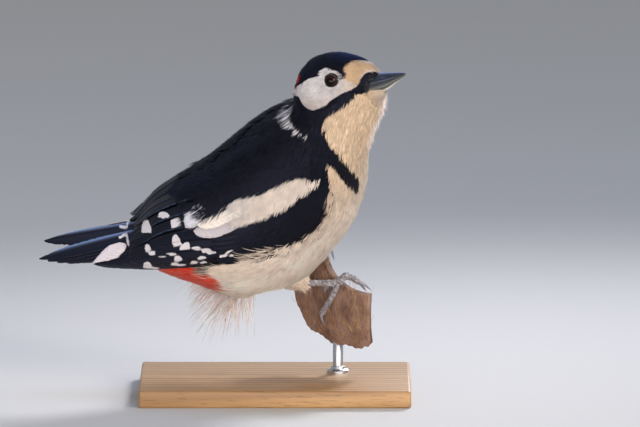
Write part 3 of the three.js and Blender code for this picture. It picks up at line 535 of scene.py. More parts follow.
def head_colour(p, rng, fuzz):
    """Colour of the head's plumage at points of the bird's frame, and which are dark."""
    tones = palette()
    noise_at = rng.normal(0, fuzz, p.shape[:-1] + (2,))
    at = head_side_view(p) + noise_at
    colour = np.broadcast_to(tones["black"], p.shape).copy()
    throat, cheek, brow = within(THROAT, at), within(CHEEK, at), within(BROW, at)
    cap, nape = within(CAP, at), within(NAPE, at)
    # The crown's black runs forward over the middle of the forehead
    own = bird_to_head(p)
    cap |= (np.abs(own[..., 1]) < 6) & (own[..., 1] > -0.5) & within(CAP, seen(p) + noise_at)
    cap |= (np.abs(own[..., 1]) < 1.0) & (own[..., 0] < 19.5) & (own[..., 2] > 0)
    chin = 0.3 * smoothstep(17.5, 23.0, own[..., 0]) * smoothstep(-4.0, -8.0, own[..., 2])
    colour[throat] = blend(tones["breast"], tones["white"], chin)[throat]
    warm = smoothstep(44, 60, at[..., 0]) * 0.6 + smoothstep(66, 56, at[..., 1]) * 0.3
    colour[cheek] = blend(tones["white"], tones["buff"], warm * 0.75)[cheek]
    edge = 0.75 * smoothstep(2.4, 0.0, depth_within(BROW, at)) * smoothstep(58, 66, at[..., 0])
    colour[brow] = blend(tones["buff"], tones["white"], edge)[brow]
    # Painted highlight: a blue sheen blended into the cap's black along its top front
    painted_gloss = smoothstep(80, 88, at[..., 1]) * smoothstep(40, 58, at[..., 0]) * 0.9
    colour[cap] = blend(tones["black"], rgb("#1A2C5C"), painted_gloss)[cap]
    colour[nape] = tones["red"]
    dark = ~(throat | cheek | brow | nape) | (cap & ~nape)
    ahead, above = own[..., 0] - EYE_PLACE[0], own[..., 2] - EYE_PLACE[2]
    gap = np.hypot(ahead, above + 0.4)
    ring = (gap < 5.3) & (np.abs(own[..., 1]) > 5)
    line = (gap > 5.3) & (gap < 5.9) & (ahead > 4.6) & (above > -1.0) & (np.abs(own[..., 1]) > 5)
    colour[ring] = tones["white"]
    colour[line] = tones["black"]
    return colour, (dark & ~ring) | line


# ------------------------------------------------------------------ meshes from arrays

def paint(mesh, colours):
    """Gives a mesh's points the colours of the plumage."""
    rgba = np.ones((len(colours), 4), np.float32)
    rgba[:, :3] = np.clip(colours, 0, 1)
    layer = mesh.color_attributes.new(name="Plumage", type="FLOAT_COLOR", domain="POINT")
    layer.data.foreach_set("color", rgba.ravel())


def mesh_piece(name, points, triangles, material, smooth=True, colours=None, uvs=None,
               marks=None, normals=None):
    """A finished object at the origin from points in metres and triangles."""
    mesh = bpy.data.meshes.new(name)
    mesh.vertices.add(len(points))
    mesh.vertices.foreach_set("co", np.asarray(points, np.float32).ravel())
    mesh.loops.add(3 * len(triangles))
    mesh.loops.foreach_set("vertex_index", np.asarray(triangles, np.int32).ravel())
    mesh.polygons.add(len(triangles))
    mesh.polygons.foreach_set("loop_start", np.arange(0, 3 * len(triangles), 3, dtype=np.int32))
    mesh.polygons.foreach_set("use_smooth", np.full(len(triangles), smooth))
    mesh.update(calc_edges=True)
    if colours is not None:
        paint(mesh, colours)
    for label, values in (marks or {}).items():
        layer = mesh.attributes.new(label, "FLOAT", "POINT")
        layer.data.foreach_set("value", np.asarray(values, np.float32).ravel())
    for label, values in (uvs or {}).items():
        layer = mesh.uv_layers.new(name=label)
        flat = np.asarray(values, np.float32)[np.asarray(triangles).ravel()]
        layer.data.foreach_set("uv", flat.ravel())
    if normals is not None:
        mesh.normals_split_custom_set_from_vertices(np.asarray(normals, np.float32))
    mesh.materials.append(material)
    piece = bpy.data.objects.new(name, mesh)
    bpy.context.scene.collection.objects.link(piece)
    return piece


def outward(points, faces):
    """A closed form's faces, turned to look out of it."""
    a, b, c = (points[faces[:, k]] for k in range(3))
    return faces[:, ::-1] if (np.cross(a, b) * c).sum() < 0 else faces


def tube(rings):
    """Closed skin over rings of equal length: points and outward triangles."""
    rings = np.asarray(rings, float)
    count, around = rings.shape[:2]
    points = np.vstack([rings.reshape(-1, 3), rings[0].mean(0), rings[-1].mean(0)])
    i = np.arange(around)
    j = (i + 1) % around
    faces = []
    for r in range(count - 1):
        a, b = r * around + i, r * around + j
        faces += [np.stack([a, b, b + around], -1), np.stack([a, b + around, a + around], -1)]
    first, last = count * around, count * around + 1
    faces.append(np.stack([np.full(around, first), j, i], -1))
    end = (count - 1) * around
    faces.append(np.stack([np.full(around, last), end + i, end + j], -1))
    return points, outward(points, np.vstack(faces))


def joined(parts):
    """Several (points, triangles) as one."""
    points, faces, base = [], [], 0
    for p, f in parts:
        points.append(p)
        faces.append(np.asarray(f) + base)
        base += len(p)
    return np.vstack(points), np.vstack(faces)


def evaluated(piece, name):
    """A plain mesh object from a piece with its modifiers applied; the piece goes."""
    graph = bpy.context.evaluated_depsgraph_get()
    mesh = bpy.data.meshes.new_from_object(piece.evaluated_get(graph))
    made = bpy.data.objects.new(name, mesh)
    mesh.name = name
    bpy.context.scene.collection.objects.link(made)
    bpy.data.objects.remove(piece)
    return made


# ------------------------------------------------------------------ feathers of the coat

def staggered(surface, stations, turns, spacing, side, rng):
    """Feather roots in staggered rows, about spacing apart each way."""
    found_a, found_b = [], []
    a, row = stations[0], 0
    while a < stations[1]:
        b = np.linspace(turns[0], turns[1], 50)
        p = surface(np.full(50, a), b, side, 0.0)
        run = np.concatenate([[0], np.linalg.norm(np.diff(p, axis=0), axis=1).cumsum()])
        count = max(1, int(run[-1] / spacing))
        want = (np.arange(count) + 0.25 + 0.5 * (row % 2)) / count * run[-1]
        want += rng.normal(0, spacing / 8, count)
        found_b.append(np.interp(want, run, b))
        ahead = surface(np.full(50, a + 0.05), b, side, 0.0)
        per = np.linalg.norm(ahead - p, axis=1).max() / 0.05
        step = spacing * 0.87 / max(per, 1e-6)
        found_a.append(a + rng.normal(0, step / 8, count))
        a += step
        row += 1
    return np.concatenate(found_a), np.concatenate(found_b)


def find_on(surface, side, targets, stations, turns):
    """Station and turn of the surface's points that show at side-view places."""
    a, b = np.meshgrid(np.linspace(*stations, 160), np.linspace(*turns, 160), indexing="ij")
    shown = side_view(surface(a, b, np.full(a.shape, side)))
    found = []
    for target in targets:
        i = np.hypot(*np.moveaxis(shown - np.array(target), -1, 0)).argmin()
        found.append((a.ravel()[i], b.ravel()[i]))
    return np.array(found).T


def flow_noise(rng, a, b, cell_a, cell_b):
    """Smooth noise about -1..1, one value to each cell of stations and turns."""
    grid = rng.normal(0, 0.6, (int(20 / cell_a) + 3, int(400 / cell_b) + 3))
    x, y = np.clip(a, 0, 19) / cell_a, np.clip(b + 10, 0, 390) / cell_b
    i, j = np.floor(x).astype(int), np.floor(y).astype(int)
    u, v = smoothstep(0, 1, x - i), smoothstep(0, 1, y - j)
    return ((grid[i, j] * (1 - u) + grid[i + 1, j] * u) * (1 - v)
            + (grid[i, j + 1] * (1 - u) + grid[i + 1, j + 1] * u) * v)


BARB_FACES = np.array([(0, 2, 1), (0, 3, 2), (0, 1, 3),
                       (1, 2, 5), (1, 5, 4), (2, 3, 6), (2, 6, 5), (3, 1, 4), (3, 4, 6),
                       (4, 5, 7), (5, 6, 7), (6, 4, 7)])
BARB_STATIONS = np.array((0.0, 0.32, 0.7, 1.0))
# One barb's patch of the baking map, from its root
BARB_PATCH = np.array(((0, 0), (-1, 0.3), (0, 0.3), (1, 0.3), (-0.8, 0.7), (0, 0.7), (0.8, 0.7),
                       (0, 1))) * 0.0015


def grow(surface, a, b, side, rng, length, width, barbs, fan=22.0, depth=2.4,
         lifts=(-0.8, -0.1, 0.35), lie=None, loose=3.0, camber=0.3, colour=None, fuzz=0.4,
         root_tone=0.75, overlap=1.4, barb_tone=0.06, painted_streaks=0.0, sway=0.0, ruffle=0.14,
         unwrap=None):
    """Feathers as fans of closed, tapered barb clumps over a surface of the bird.

    Returns points in millimetres, colours, the OFBake places and shading normals of the barbs, with
    masks of the barbs that are dark and of the stray ones.
    """
    n_feathers = len(a)
    side = np.broadcast_to(np.asarray(side, float), a.shape)
    length = np.broadcast_to(length, a.shape) * (1 + rng.normal(0, 0.08, n_feathers))
    width = np.broadcast_to(width, a.shape) * (1 + rng.normal(0, 0.06, n_feathers))
    root = surface(a, b, side, 0.0)
    along_a = (surface(a + 0.01, b, side, 0.0) - surface(a - 0.01, b, side, 0.0)) / 0.02
    along_b = (surface(a, b + 1, side, 0.0) - surface(a, b - 1, side, 0.0)) / 2
    normal = np.cross(along_a, along_b)
    normal = unit(normal * np.sign(dot(normal, surface(a, b, side, 1.0) - root)))
    heading = -unit(along_a)
    if lie is not None:
        heading = lie(root, heading, normal, unit(along_b))
    heading = unit(heading - dot(heading, normal) * normal)
    if sway:
        bend = np.radians(sway * flow_noise(rng, a, b, 0.8, 14.0))[:, None]
        heading = heading * np.cos(bend) + np.cross(normal, heading) * np.sin(bend)
    across = np.cross(normal, heading)

    v = np.linspace(-1, 1, barbs)[None] + rng.normal(0, 0.35 / barbs, (n_feathers, barbs))
    angle = np.radians(v * fan + rng.normal(0, loose, v.shape))
    way = (heading[:, None] * np.cos(angle)[..., None] + across[:, None] * np.sin(angle)[..., None])
    reach = length[:, None] * (1 - 0.3 * v ** 2) * (1 + rng.normal(0, 0.05, v.shape))
    offset = across[:, None] * (v * width[:, None] * 0.28)[..., None]

    aa, ab, bb = dot(along_a, along_a), dot(along_a, along_b), dot(along_b, along_b)
    det = aa * bb - ab * ab

    def steps(vector):
        qa = (vector * along_a[:, None]).sum(-1)
        qb = (vector * along_b[:, None]).sum(-1)
        return (qa * bb - qb * ab) / det, (qb * aa - qa * ab) / det

    off_a, off_b = steps(offset)
    way_a, way_b = steps(way)
    t = BARB_STATIONS
    path_a = a[:, None, None] + off_a[..., None] + way_a[..., None] * reach[..., None] * t
    path_b = b[:, None, None] + off_b[..., None] + way_b[..., None] * reach[..., None] * t
    rise = np.interp(t, (0, 0.32, 0.7, 1.0), (-depth,) + tuple(lifts))
    lift = (rise - camber * (v ** 2)[..., None] * (t > 0.1)
            + rng.normal(0, ruffle, v.shape)[..., None] * t
            + rng.normal(0, ruffle, (n_feathers, 1, 1)) * t)
    sides = side[:, None, None]
    centre = surface(path_a, path_b, np.broadcast_to(sides, path_a.shape), lift)
    above = surface(path_a, path_b, np.broadcast_to(sides, path_a.shape), lift + 1.0)
    forward = unit(np.gradient(centre, axis=2))
    outward = unit(above - centre)
    up = unit(outward - dot(outward, forward) * forward)
    flat = np.cross(up, forward)
    roll = np.radians(rng.normal(0, 9, v.shape))[..., None, None]
    flat, up = flat * np.cos(roll) + up * np.sin(roll), up * np.cos(roll) - flat * np.sin(roll)

    half = (width[:, None] / barbs * overlap / 2)[..., None, None]
    half = half * np.array((0, 1.0, 0.72, 0))[None, None, :, None]
    left, right = centre + flat * half, centre - flat * half
    ridge = centre + up * half * 0.5
    points = np.stack([centre[:, :, 0], left[:, :, 1], ridge[:, :, 1], right[:, :, 1],
                       left[:, :, 2], ridge[:, :, 2], right[:, :, 2], centre[:, :, 3]], 2)
    # The light falls on each barb nearly as on the body under it, so the coat looks soft
    lean = np.array((0, 1, 0, -1, 1, 0, -1, 0))[None, None, :, None] * 0.38
    place = np.array((0, 1, 1, 1, 2, 2, 2, 3))
    normals = unit(outward[:, :, place] + flat[:, :, place] * lean
                   + rng.normal(0, 0.05, v.shape)[..., None, None])

    shown = centre[:, :, 2] * 0.3 + centre[:, :, 3] * 0.7
    tint, dark = colour(shown, rng, fuzz)
    middle = centre[:, :, 1] * 0.15 + centre[:, :, 2] * 0.85
    stray = colour(middle, rng, fuzz)[1] & ~dark
    if painted_streaks:
        # Long soft streaks of painted light and shade: painted highlights on the ridges, painted
        # warm grey shade between them
        at_a, at_b = path_a[:, :, 2], path_b[:, :, 2]
        wave = (0.6 * flow_noise(rng, at_a, at_b, 1.3, 2.4)
                + 0.5 * flow_noise(rng, at_a, at_b, 0.6, 6.0))
        shade = tint * np.array((0.82, 0.70, 0.62))
        tint = blend(tint * (1 + painted_streaks * np.clip(wave, 0, 1))[..., None], shade,
                     np.where(dark, 0, np.clip(-wave, 0, 1) * painted_streaks * 2.4))
    vary = (1 + rng.normal(0, 0.06, (n_feathers, 1))) * (1 + rng.normal(0, barb_tone, v.shape))
    # Each barb darker towards its root, partly the grey base of a real feather and partly painted
    # shade deep in the coat; a little brighter at the tip, a painted highlight
    shade = np.array((root_tone, 0.5 + root_tone / 2, 0.5 + root_tone / 2, 0.5 + root_tone / 2,
                      1, 1, 1, 1.04))
    colours = tint[:, :, None] * vary[..., None, None] * shade[None, None, :, None]

    u0, v0 = unwrap(a, b, side) if unwrap else (0.5 + side * b / 400.0, a / 16.0)
    # Feathers are spread over the baking map by station and turn
    place = np.stack([u0[:, None] + off_b * 0.002, v0[:, None] + off_a * 0.02], -1)
    uv = place[:, :, None] + BARB_PATCH
    return {"points": points.reshape(-1, 8, 3), "colours": colours.reshape(-1, 8, 3),
            "uv": uv.reshape(-1, 8, 2), "dark": dark.reshape(-1), "stray": stray.reshape(-1),
            "normals": normals.reshape(-1, 8, 3)}


def hair(root, way, long, half, bend=(0.0, 0.0, 0.0)):
    """One tapered hair: its way at the root, and the bend that its tip has taken."""
    t = BARB_STATIONS[:, None]
    line = root + way * long * t + np.array(bend) * t ** 2
    flat = unit(np.cross(way, (0.0, 0.3, 1.0)))
    width = np.array((0, 1, 0.75, 0))[:, None] * half
    left, right, top = line + flat * width, line - flat * width, line + np.cross(way, flat) * width
    return np.array([line[0], left[1], top[1], right[1], left[2], top[2], right[2], line[3]])


def hair_growth(hairs, tints, places, dark):
    """Hairs in the form that coat_piece takes."""
    p = np.array(hairs)
    way = unit(p[:, 7] - p[:, 0])[:, None]
    normals = np.concatenate([-way, p[:, 1:4] - p[:, 1:4].mean(1, keepdims=True),
                              p[:, 4:7] - p[:, 4:7].mean(1, keepdims=True), way], 1)
    return {"points": p, "colours": np.repeat(np.array(tints)[:, None], 8, 1),
            "uv": np.array(places)[:, None] + BARB_PATCH, "dark": np.array(dark, bool),
            "stray": np.zeros(len(p), bool), "normals": unit(normals)}


def coat_piece(name, growths, material, keep=None):
    """One coat object from several growths; keep picks the dark or the pale barbs."""
    parts = {"points": [], "colours": [], "uv": [], "normals": []}
    for g in growths:
        pick = ~g["stray"] if keep is None else (g["dark"] == keep) & ~g["stray"]
        for label, found in parts.items():
            found.append(g[label][pick])
    points, colours, uv, normals = (np.vstack(found) for found in parts.values())
    faces = ((np.arange(len(points)) * 8)[:, None, None] + BARB_FACES).reshape(-1, 3)
    if len(faces) > FACE_LIMIT:
        raise RuntimeError(f"{name} has {len(faces)} faces: give it fewer barbs")
    turned = bird_to_row(normals.reshape(-1, 3)) - bird_to_row(np.zeros(3))
    return mesh_piece(name, bird_to_row(points.reshape(-1, 3)), faces, material,
                      colours=colours.reshape(-1, 3), uvs={"OFBake": uv.reshape(-1, 2)},
                      normals=turned)


def lay_coat(name, growths, stuff, pale_slot="white_feather"):
    """The black and the pale piece of some growths, where they have barbs of the kind."""
    for tone, dark in (("black", True), ("pale", False)):
        if any((growth["dark"] == dark).any() for growth in growths):
            piece = coat_piece(name.format(tone), growths, stuff[tone], keep=dark)
            finish_piece(piece, "black_feather" if dark else pale_slot)


def finish_piece(piece, slot, *replaced):
    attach(piece, "root")
    if replaced:
        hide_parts(*replaced)
    return piece


# ------------------------------------------------------------------ materials

def node(tree, kind, inputs=(), out=0, **settings):
    """Adds a node with its settings, values and links, and gives one of its outputs."""
    made = tree.nodes.new(kind if "Node" in kind else "ShaderNode" + kind)
    for name, value in settings.items():
        setattr(made, name, value)
    for socket, value in inputs.items() if isinstance(inputs, dict) else enumerate(inputs):
        if isinstance(value, bpy.types.NodeSocket):
            tree.links.new(value, made.inputs[socket])
        else:
            made.inputs[socket].default_value = value
    return made.outputs[out] if made.outputs else None


def per_mm(size):
    """Texture scale whose pattern repeats every size millimetres on metre coordinates."""
    return 1000.0 / size


def material(name, **values):
    """A Principled material, what adds nodes to it, and its shader."""
    made = bpy.data.materials.new(name)
    made.use_nodes = True
    tree = made.node_tree
    tree.nodes.clear()
    surface = node(tree, "BsdfPrincipled", {k.replace("_", " "): v for k, v in values.items()})
    node(tree, "OutputMaterial", (surface,))
    return made, partial(node, tree), surface.node


def dress(made, shader, colour, relief=None, strength=0.0, depth=0.0):
    """Gives a material its colour, and a relief of a depth in millimetres."""
    tree = made.node_tree
    tree.links.new(colour, shader.inputs["Base Color"])
    if relief:
        bump = node(tree, "Bump", {"Height": relief, "Strength": strength, "Distance": depth * MM})
        tree.links.new(bump, shader.inputs["Normal"])
    return made


def shaded(add, under, over, pattern, low, high, share=1.0, start=0.0):
    """One colour with another laid over it as a pattern goes from low to high."""
    cover = add("MapRange", (pattern, low, high, start, share))
    return add("Mix", {0: cover, 6: under, 7: over}, out=2, data_type="RGBA")


def plumage(add, pattern, low, high, dim, bright):
    """The coat's own colours, dimmed and brightened by a pattern."""
    tone = add("MapRange", (pattern, low, high, dim, bright))
    own = add("Attribute", attribute_name="Plumage")
    return add("VectorMath", {0: own, "Scale": tone}, operation="SCALE")


def mottled_material(name, size, dark, light, low, high, **values):
    """A plain surface, mottled between two colours at a size in millimetres."""
    made, add, shader = material(name, **values)
    grain = add("TexNoise", {"Vector": add("TexCoord", out="Object"), "Scale": per_mm(size)})
    return dress(made, shader, shaded(add, dark, light, grain, low, high))


def feather_material(name, roughness, sheen, sheen_tint, specular, soft=0.0, tint="#FFFFFF"):
    """Keratin barbs: matt and soft where they are pale, with a low blue shine where black."""
    made, add, shader = material(
        name, Roughness=roughness, Sheen_Weight=sheen, Sheen_Roughness=0.45,
        Sheen_Tint=linear(sheen_tint), Specular_Tint=linear(tint), Specular_IOR_Level=specular,
        IOR=KERATIN_IOR, Subsurface_Weight=soft, Subsurface_Scale=0.002,
        Subsurface_Radius=(1.0, 0.7, 0.5))
    place = add("TexCoord", out="Object")
    # Uneven wear and dust over patches a few millimetres across
    patchy = add("TexNoise", {"Vector": place, "Scale": per_mm(5.0), "Detail": 3.0})
    # Barbules are far too fine to see: drawn at 0.35 mm so that they just break the shine
    fine = add("TexNoise", {"Vector": place, "Scale": per_mm(0.35), "Detail": 2.0})
    return dress(made, shader, plumage(add, patchy, 0.3, 0.7, 0.9, 1.07), fine, 0.25, 0.08)


def vane_material(name, white, roughness, specular, tint):
    """Stiff flight feather: black keratin vane with barbs slanting off the shaft, and white
    marks whose edges run out along the barbs."""
    made, add, shader = material(name, Roughness=roughness, Specular_Tint=linear(tint),
                                 Specular_IOR_Level=specular, IOR=KERATIN_IOR)
    # The map's x is centimetres from the shaft, its y centimetres along it
    axes = add("SeparateXYZ", (add("UVMap", uv_map="Vane"),)).node.outputs
    off = add("Math", (axes["X"],), operation="ABSOLUTE")
    slant = add("Math", (axes["Y"], off), operation="ADD")
    # Barbs every 0.6 mm, about twice as coarse as real, so that they show
    barbs = add("Math", (slant, 2 * math.pi * 10 / 0.6), operation="MULTIPLY")
    wave = add("Math", (barbs,), operation="SINE")
    stretch = add("VectorMath", (add("CombineXYZ", (slant, axes["X"])), (16.0, 1.2, 1.0)),
                  operation="MULTIPLY")
    streaks = add("TexNoise", {"Vector": stretch, "Scale": 2.0, "Detail": 3.0})
    jag = add("MapRange", (streaks, 0.25, 0.75, -0.45, 0.45))
    edge = add("Math", (add("Attribute", out="Fac", attribute_name="Mark"), jag), operation="ADD")
    toned = plumage(add, streaks, 0.3, 0.7, 0.75, 1.2)
    return dress(made, shader, shaded(add, toned, white, edge, -0.12, 0.12), wave, 0.3, 0.06)


def skin_material():
    """Feathered skin under the coat: matt, in the colours of the plumage over it."""
    made, add, shader = material("feathered_skin", Roughness=0.85, Specular_IOR_Level=0.2)
    # Roots of feathers and down, a little under a millimetre apart
    fine = add("TexNoise", {"Vector": add("TexCoord", out="Object"), "Scale": per_mm(0.8),
                            "Detail": 3.0})
    return dress(made, shader, plumage(add, fine, 0.3, 0.7, 0.6, 0.95), fine, 0.4, 0.3)


def horn_material(name, dark, pale, roughness):
    """Bill and claw keratin: a hard satin with faint streaks along its length."""
    made, add, shader = material(name, Roughness=roughness, IOR=KERATIN_IOR,
                                 Specular_IOR_Level=0.36, Specular_Tint=linear("#C4D4FF"))
    # Growth streaks: 0.25 mm wide and several millimetres long
    stretch = add("VectorMath", (add("UVMap", uv_map="Along"), (2.0, 26.0, 1.0)),
                  operation="MULTIPLY")
    streaks = add("TexNoise", {"Vector": stretch, "Scale": 1.0, "Detail": 4.0})
    horn = shaded(add, add("Attribute", attribute_name="Plumage"), pale, streaks, 0.35, 0.75, 0.126)
    horn = shaded(add, horn, dark, streaks, 0.4, 0.2, 0.35)
    return dress(made, shader, horn, streaks, 0.35, 0.12)


def leg_material(skin, dirt):
    """Scaly leg skin: dull grey plates with paler rims and dirt between them."""
    made, add, shader = material("scaled_leg_skin", Roughness=0.62, IOR=1.5,
                                 Specular_IOR_Level=0.45, Subsurface_Weight=0.08,
                                 Subsurface_Scale=0.001)
    place = add("TexCoord", out="Object")
    # Small plates of the tarsus's back and the soles, 0.75 mm across
    plates = add("TexVoronoi", {"Vector": place, "Scale": per_mm(0.75)},
                 feature="DISTANCE_TO_EDGE")
    # Wear that takes in a few plates together
    worn = add("TexNoise", {"Vector": place, "Scale": per_mm(1.6), "Detail": 3.0})
    body = add("MapRange", (plates, 0.02, 0.14, 0.0, 1.0))
    scaled = add("Mix", {0: body, 6: dirt, 7: skin}, out=2, data_type="RGBA")
    scaled = shaded(add, scaled, linear("#D3CFD4"), worn, 0.5, 0.75, 0.6)
    return dress(made, shader, scaled, body, 0.55, 0.18)


def eye_material(iris, pupil):
    """Wet eyeball: near-black pupil, dark red-brown iris with fine spokes, clear cornea."""
    made, add, shader = material("wet_eye", Roughness=0.12, IOR=1.376, Specular_IOR_Level=0.1,
                                 Coat_Weight=0.2, Coat_Roughness=0.02)
    place = add("UVMap", uv_map="Eye")
    out = add("SeparateXYZ", (place,), out="Y")
    stretch = add("VectorMath", (place, (60.0, 3.0, 1.0)), operation="MULTIPLY")
    # About sixty spokes round the iris
    spokes = add("TexNoise", {"Vector": stretch, "Scale": 1.0, "Detail": 2.0})
    iris = shaded(add, iris, linear("#3A1A1A"), spokes, 0.4, 0.75, 0.7)
    ball = shaded(add, pupil, iris, out, 0.25, 0.29)
    return dress(made, shader, shaded(add, ball, linear("#120908"), out, 0.46, 0.54))


def shell_material(brown, tan, inside):
    """Coconut shell with husk left on: matted brown fibre, tan streaks, darker bare inside."""
    made, add, shader = material("coconut_shell", Roughness=0.82, IOR=1.5,
                                 Specular_IOR_Level=0.3)
    place = add("TexCoord", out="Object")
    # Husk strands about a millimetre wide that run down the shell
    stretch = add("Mapping", {"Vector": place, "Rotation": (0.12, -0.2, 0.0),
                              "Scale": (1.0, 1.0, 0.14)})
    strands = add("TexNoise", {"Vector": stretch, "Scale": per_mm(0.9), "Detail": 4.0,
                               "Roughness": 0.65})
    # Blotches about a centimetre across, where the husk is worn
    blotch = add("TexNoise", {"Vector": place, "Scale": per_mm(11.0), "Detail": 5.0,
                              "Roughness": 0.6})
    husk = shaded(add, brown, tan, blotch, 0.36, 0.62)
    husk = shaded(add, husk, linear("#84695A"), strands, 0.52, 0.72, 0.75)
    husk = shaded(add, husk, linear("#3A2618"), strands, 0.47, 0.3, 0.8)
    bare = shaded(add, inside, linear("#5A3A26"), blotch, 0.4, 0.7, 0.6)
    inner = add("Attribute", out="Fac", attribute_name="Inside")
    both = add("Mix", {0: inner, 6: husk, 7: bare}, out=2, data_type="RGBA")
    return dress(made, shader, both, strands, 0.7, 0.5)


def wood_material(light, dark):
    """Oiled oak board: long grain with pores, a low satin sheen."""
    made, add, shader = material("oiled_oak", Roughness=0.42, IOR=1.5, Specular_IOR_Level=0.4,
                                 Coat_Weight=0.12, Coat_Roughness=0.3)
    # Growth rings a few millimetres apart, stretched to long grain along the board
    grain_at = add("Mapping", {"Vector": add("TexCoord", out="Object"),
                               "Rotation": (0.05, 0.02, 0.06), "Scale": (0.07, 1.0, 1.0)})
    rings = add("TexWave", {"Vector": grain_at, "Scale": per_mm(20.0), "Distortion": 6.0,
                            "Detail": 3.0, "Detail Scale": 1.2},
                out="Fac", wave_type="RINGS", rings_direction="X")
    # Open pores under a millimetre wide
    pores = add("TexNoise", {"Vector": grain_at, "Scale": per_mm(0.8), "Detail": 3.0})
    oak = shaded(add, dark, light, rings, 0.1, 0.9, start=0.25)
    oak = shaded(add, oak, linear("#4E3520"), pores, 0.58, 0.7, 0.6)
    return dress(made, shader, oak, pores, 0.2, 0.1)


def steel_material():
    """Brushed stainless rod: fine scratches that run round it."""
    made, add, shader = material("brushed_stainless", Metallic=1.0,
                                 Base_Color=linear("#B9BCC1"))
    rings_at = add("Mapping", {"Vector": add("TexCoord", out="Object"),
                               "Scale": (0.05, 0.05, 1.0)})
    # Brush marks 0.15 mm apart
    scratches = add("TexNoise", {"Vector": rings_at, "Scale": per_mm(0.15), "Detail": 2.0})
    made.node_tree.links.new(add("MapRange", (scratches, 0.3, 0.7, 0.24, 0.42)),
                             shader.inputs["Roughness"])
    return made


# ------------------------------------------------------------------ settings

def colour_setting(name, code, description):
    return bpy.props.FloatVectorProperty(name=name, description=description, subtype="COLOR",
                                         size=4, min=0.0, max=1.0, default=linear(code))


def size_setting(name, value, low, high, description):
    return bpy.props.FloatProperty(name=name, description=description, default=value * MM,
                                   min=low * MM, max=high * MM, subtype="DISTANCE", unit="LENGTH")


class PlumageSettings(bpy.types.PropertyGroup):
    """Colours and depths of the coat."""
    black: colour_setting("Black", "#09090D", "Cap, back, wings and tail")
    white: colour_setting("White", "#D6D1D5", "Cheek, collar and shoulder patch")
    buff: colour_setting("Buff", "#D2B18D", "Forehead and the feathers before the eye")
    breast: colour_setting("Breast", "#DCC1A3", "Throat and breast")
    belly: colour_setting("Belly", "#FFEDDD", "Flanks and belly")
    red: colour_setting("Nape red", "#A81E1C", "Male's patch on the nape")
    vent: colour_setting("Vent red", "#F0260F", "Feathers under the tail")
    # Lavender grey: a pale feather's colour with painted sheen in it
    outer_tail: colour_setting("Outer tail", "#C9C3CC", "Pale outermost tail feathers")
    body_depth: size_setting("Body coat", 2.6, 1.0, 5.0, "Depth of the coat on the body")
    head_depth: size_setting("Head coat", 1.3, 0.5, 3.0, "Depth of the coat on the head")
    seed: bpy.props.IntProperty(name="Seed", description="Start of every random draw",
                                default=7, min=0)


class BillEyeSettings(bpy.types.PropertyGroup):
    """Colours of the bare parts of the head and feet."""
    bill: colour_setting("Bill", "#16181D", "Slate horn of the bill")
    bill_pale: colour_setting("Bill edge", "#C9C5AE", "Paler underside of the lower mandible")
    iris: colour_setting("Iris", "#1E0D10", "Dark red-brown iris")
    leg: colour_setting("Leg skin", "#9B979E", "Grey plates of the legs and toes")
    claw: colour_setting("Claw", "#85808C", "Dark horn of the claws")


class StandSettings(bpy.types.PropertyGroup):
    """Colours of the perch and its display stand."""
    husk: colour_setting("Husk", "#70564A", "Brown fibre of the shell's outside")
    husk_tan: colour_setting("Husk tan", "#97796A", "Paler worn fibre")
    hollow: colour_setting("Inside", "#3B251B", "Bare inside of the shell")
    oak: colour_setting("Oak", "#B08A5E", "Light wood of the base")
    oak_dark: colour_setting("Oak grain", "#84603C", "Dark wood of the base")
    strand_count: bpy.props.IntProperty(name="Strands", description="Loose husk strands",
                                        default=260, min=0, max=2000)


class StageSettings(bpy.types.PropertyGroup):
    """Floor, light and camera."""
    floor: colour_setting("Floor", "#BFBDBA", "Plain pale floor")
    distance: bpy.props.FloatProperty(name="Camera distance", description="From the bird",
                                      default=5.0, min=1.0, max=20.0, unit="LENGTH")
    view_width: size_setting("View width", 368.0, 100.0, 2000.0, "Width that the camera sees")


def draws(offset):
    return np.random.default_rng(bpy.context.scene.woodpecker_plumage.seed * 1000 + offset)


def coat_depth(part):
    look = bpy.context.scene.woodpecker_plumage
    return (look.head_depth if part == "head" else look.body_depth) / MM


def feather_set():
    """The coat's materials, made once and shared."""
    found = bpy.data.materials.get
    white = tuple(bpy.context.scene.woodpecker_plumage.white)
    return {
        "black": found("black_contour_feather") or feather_material(
            "black_contour_feather", 0.46, 0.02, "#8FA6E8", 0.26, tint="#C2CCFF"),
        "pale": found("pale_contour_feather") or feather_material(
            "pale_contour_feather", 0.85, 0.2, "#FFFFFF", 0.08, soft=0.15),
        "down": found("down") or feather_material("down", 0.8, 0.2, "#FFFFFF", 0.2, soft=0.3),
        "vane": found("black_vane") or vane_material("black_vane", white, 0.36, 0.34, "#C2CCFF"),
        "white_vane": found("white_vane") or vane_material(
            "white_vane", white, 0.7, 0.15, "#FFFFFF"),
    }


# ------------------------------------------------------------------ skin

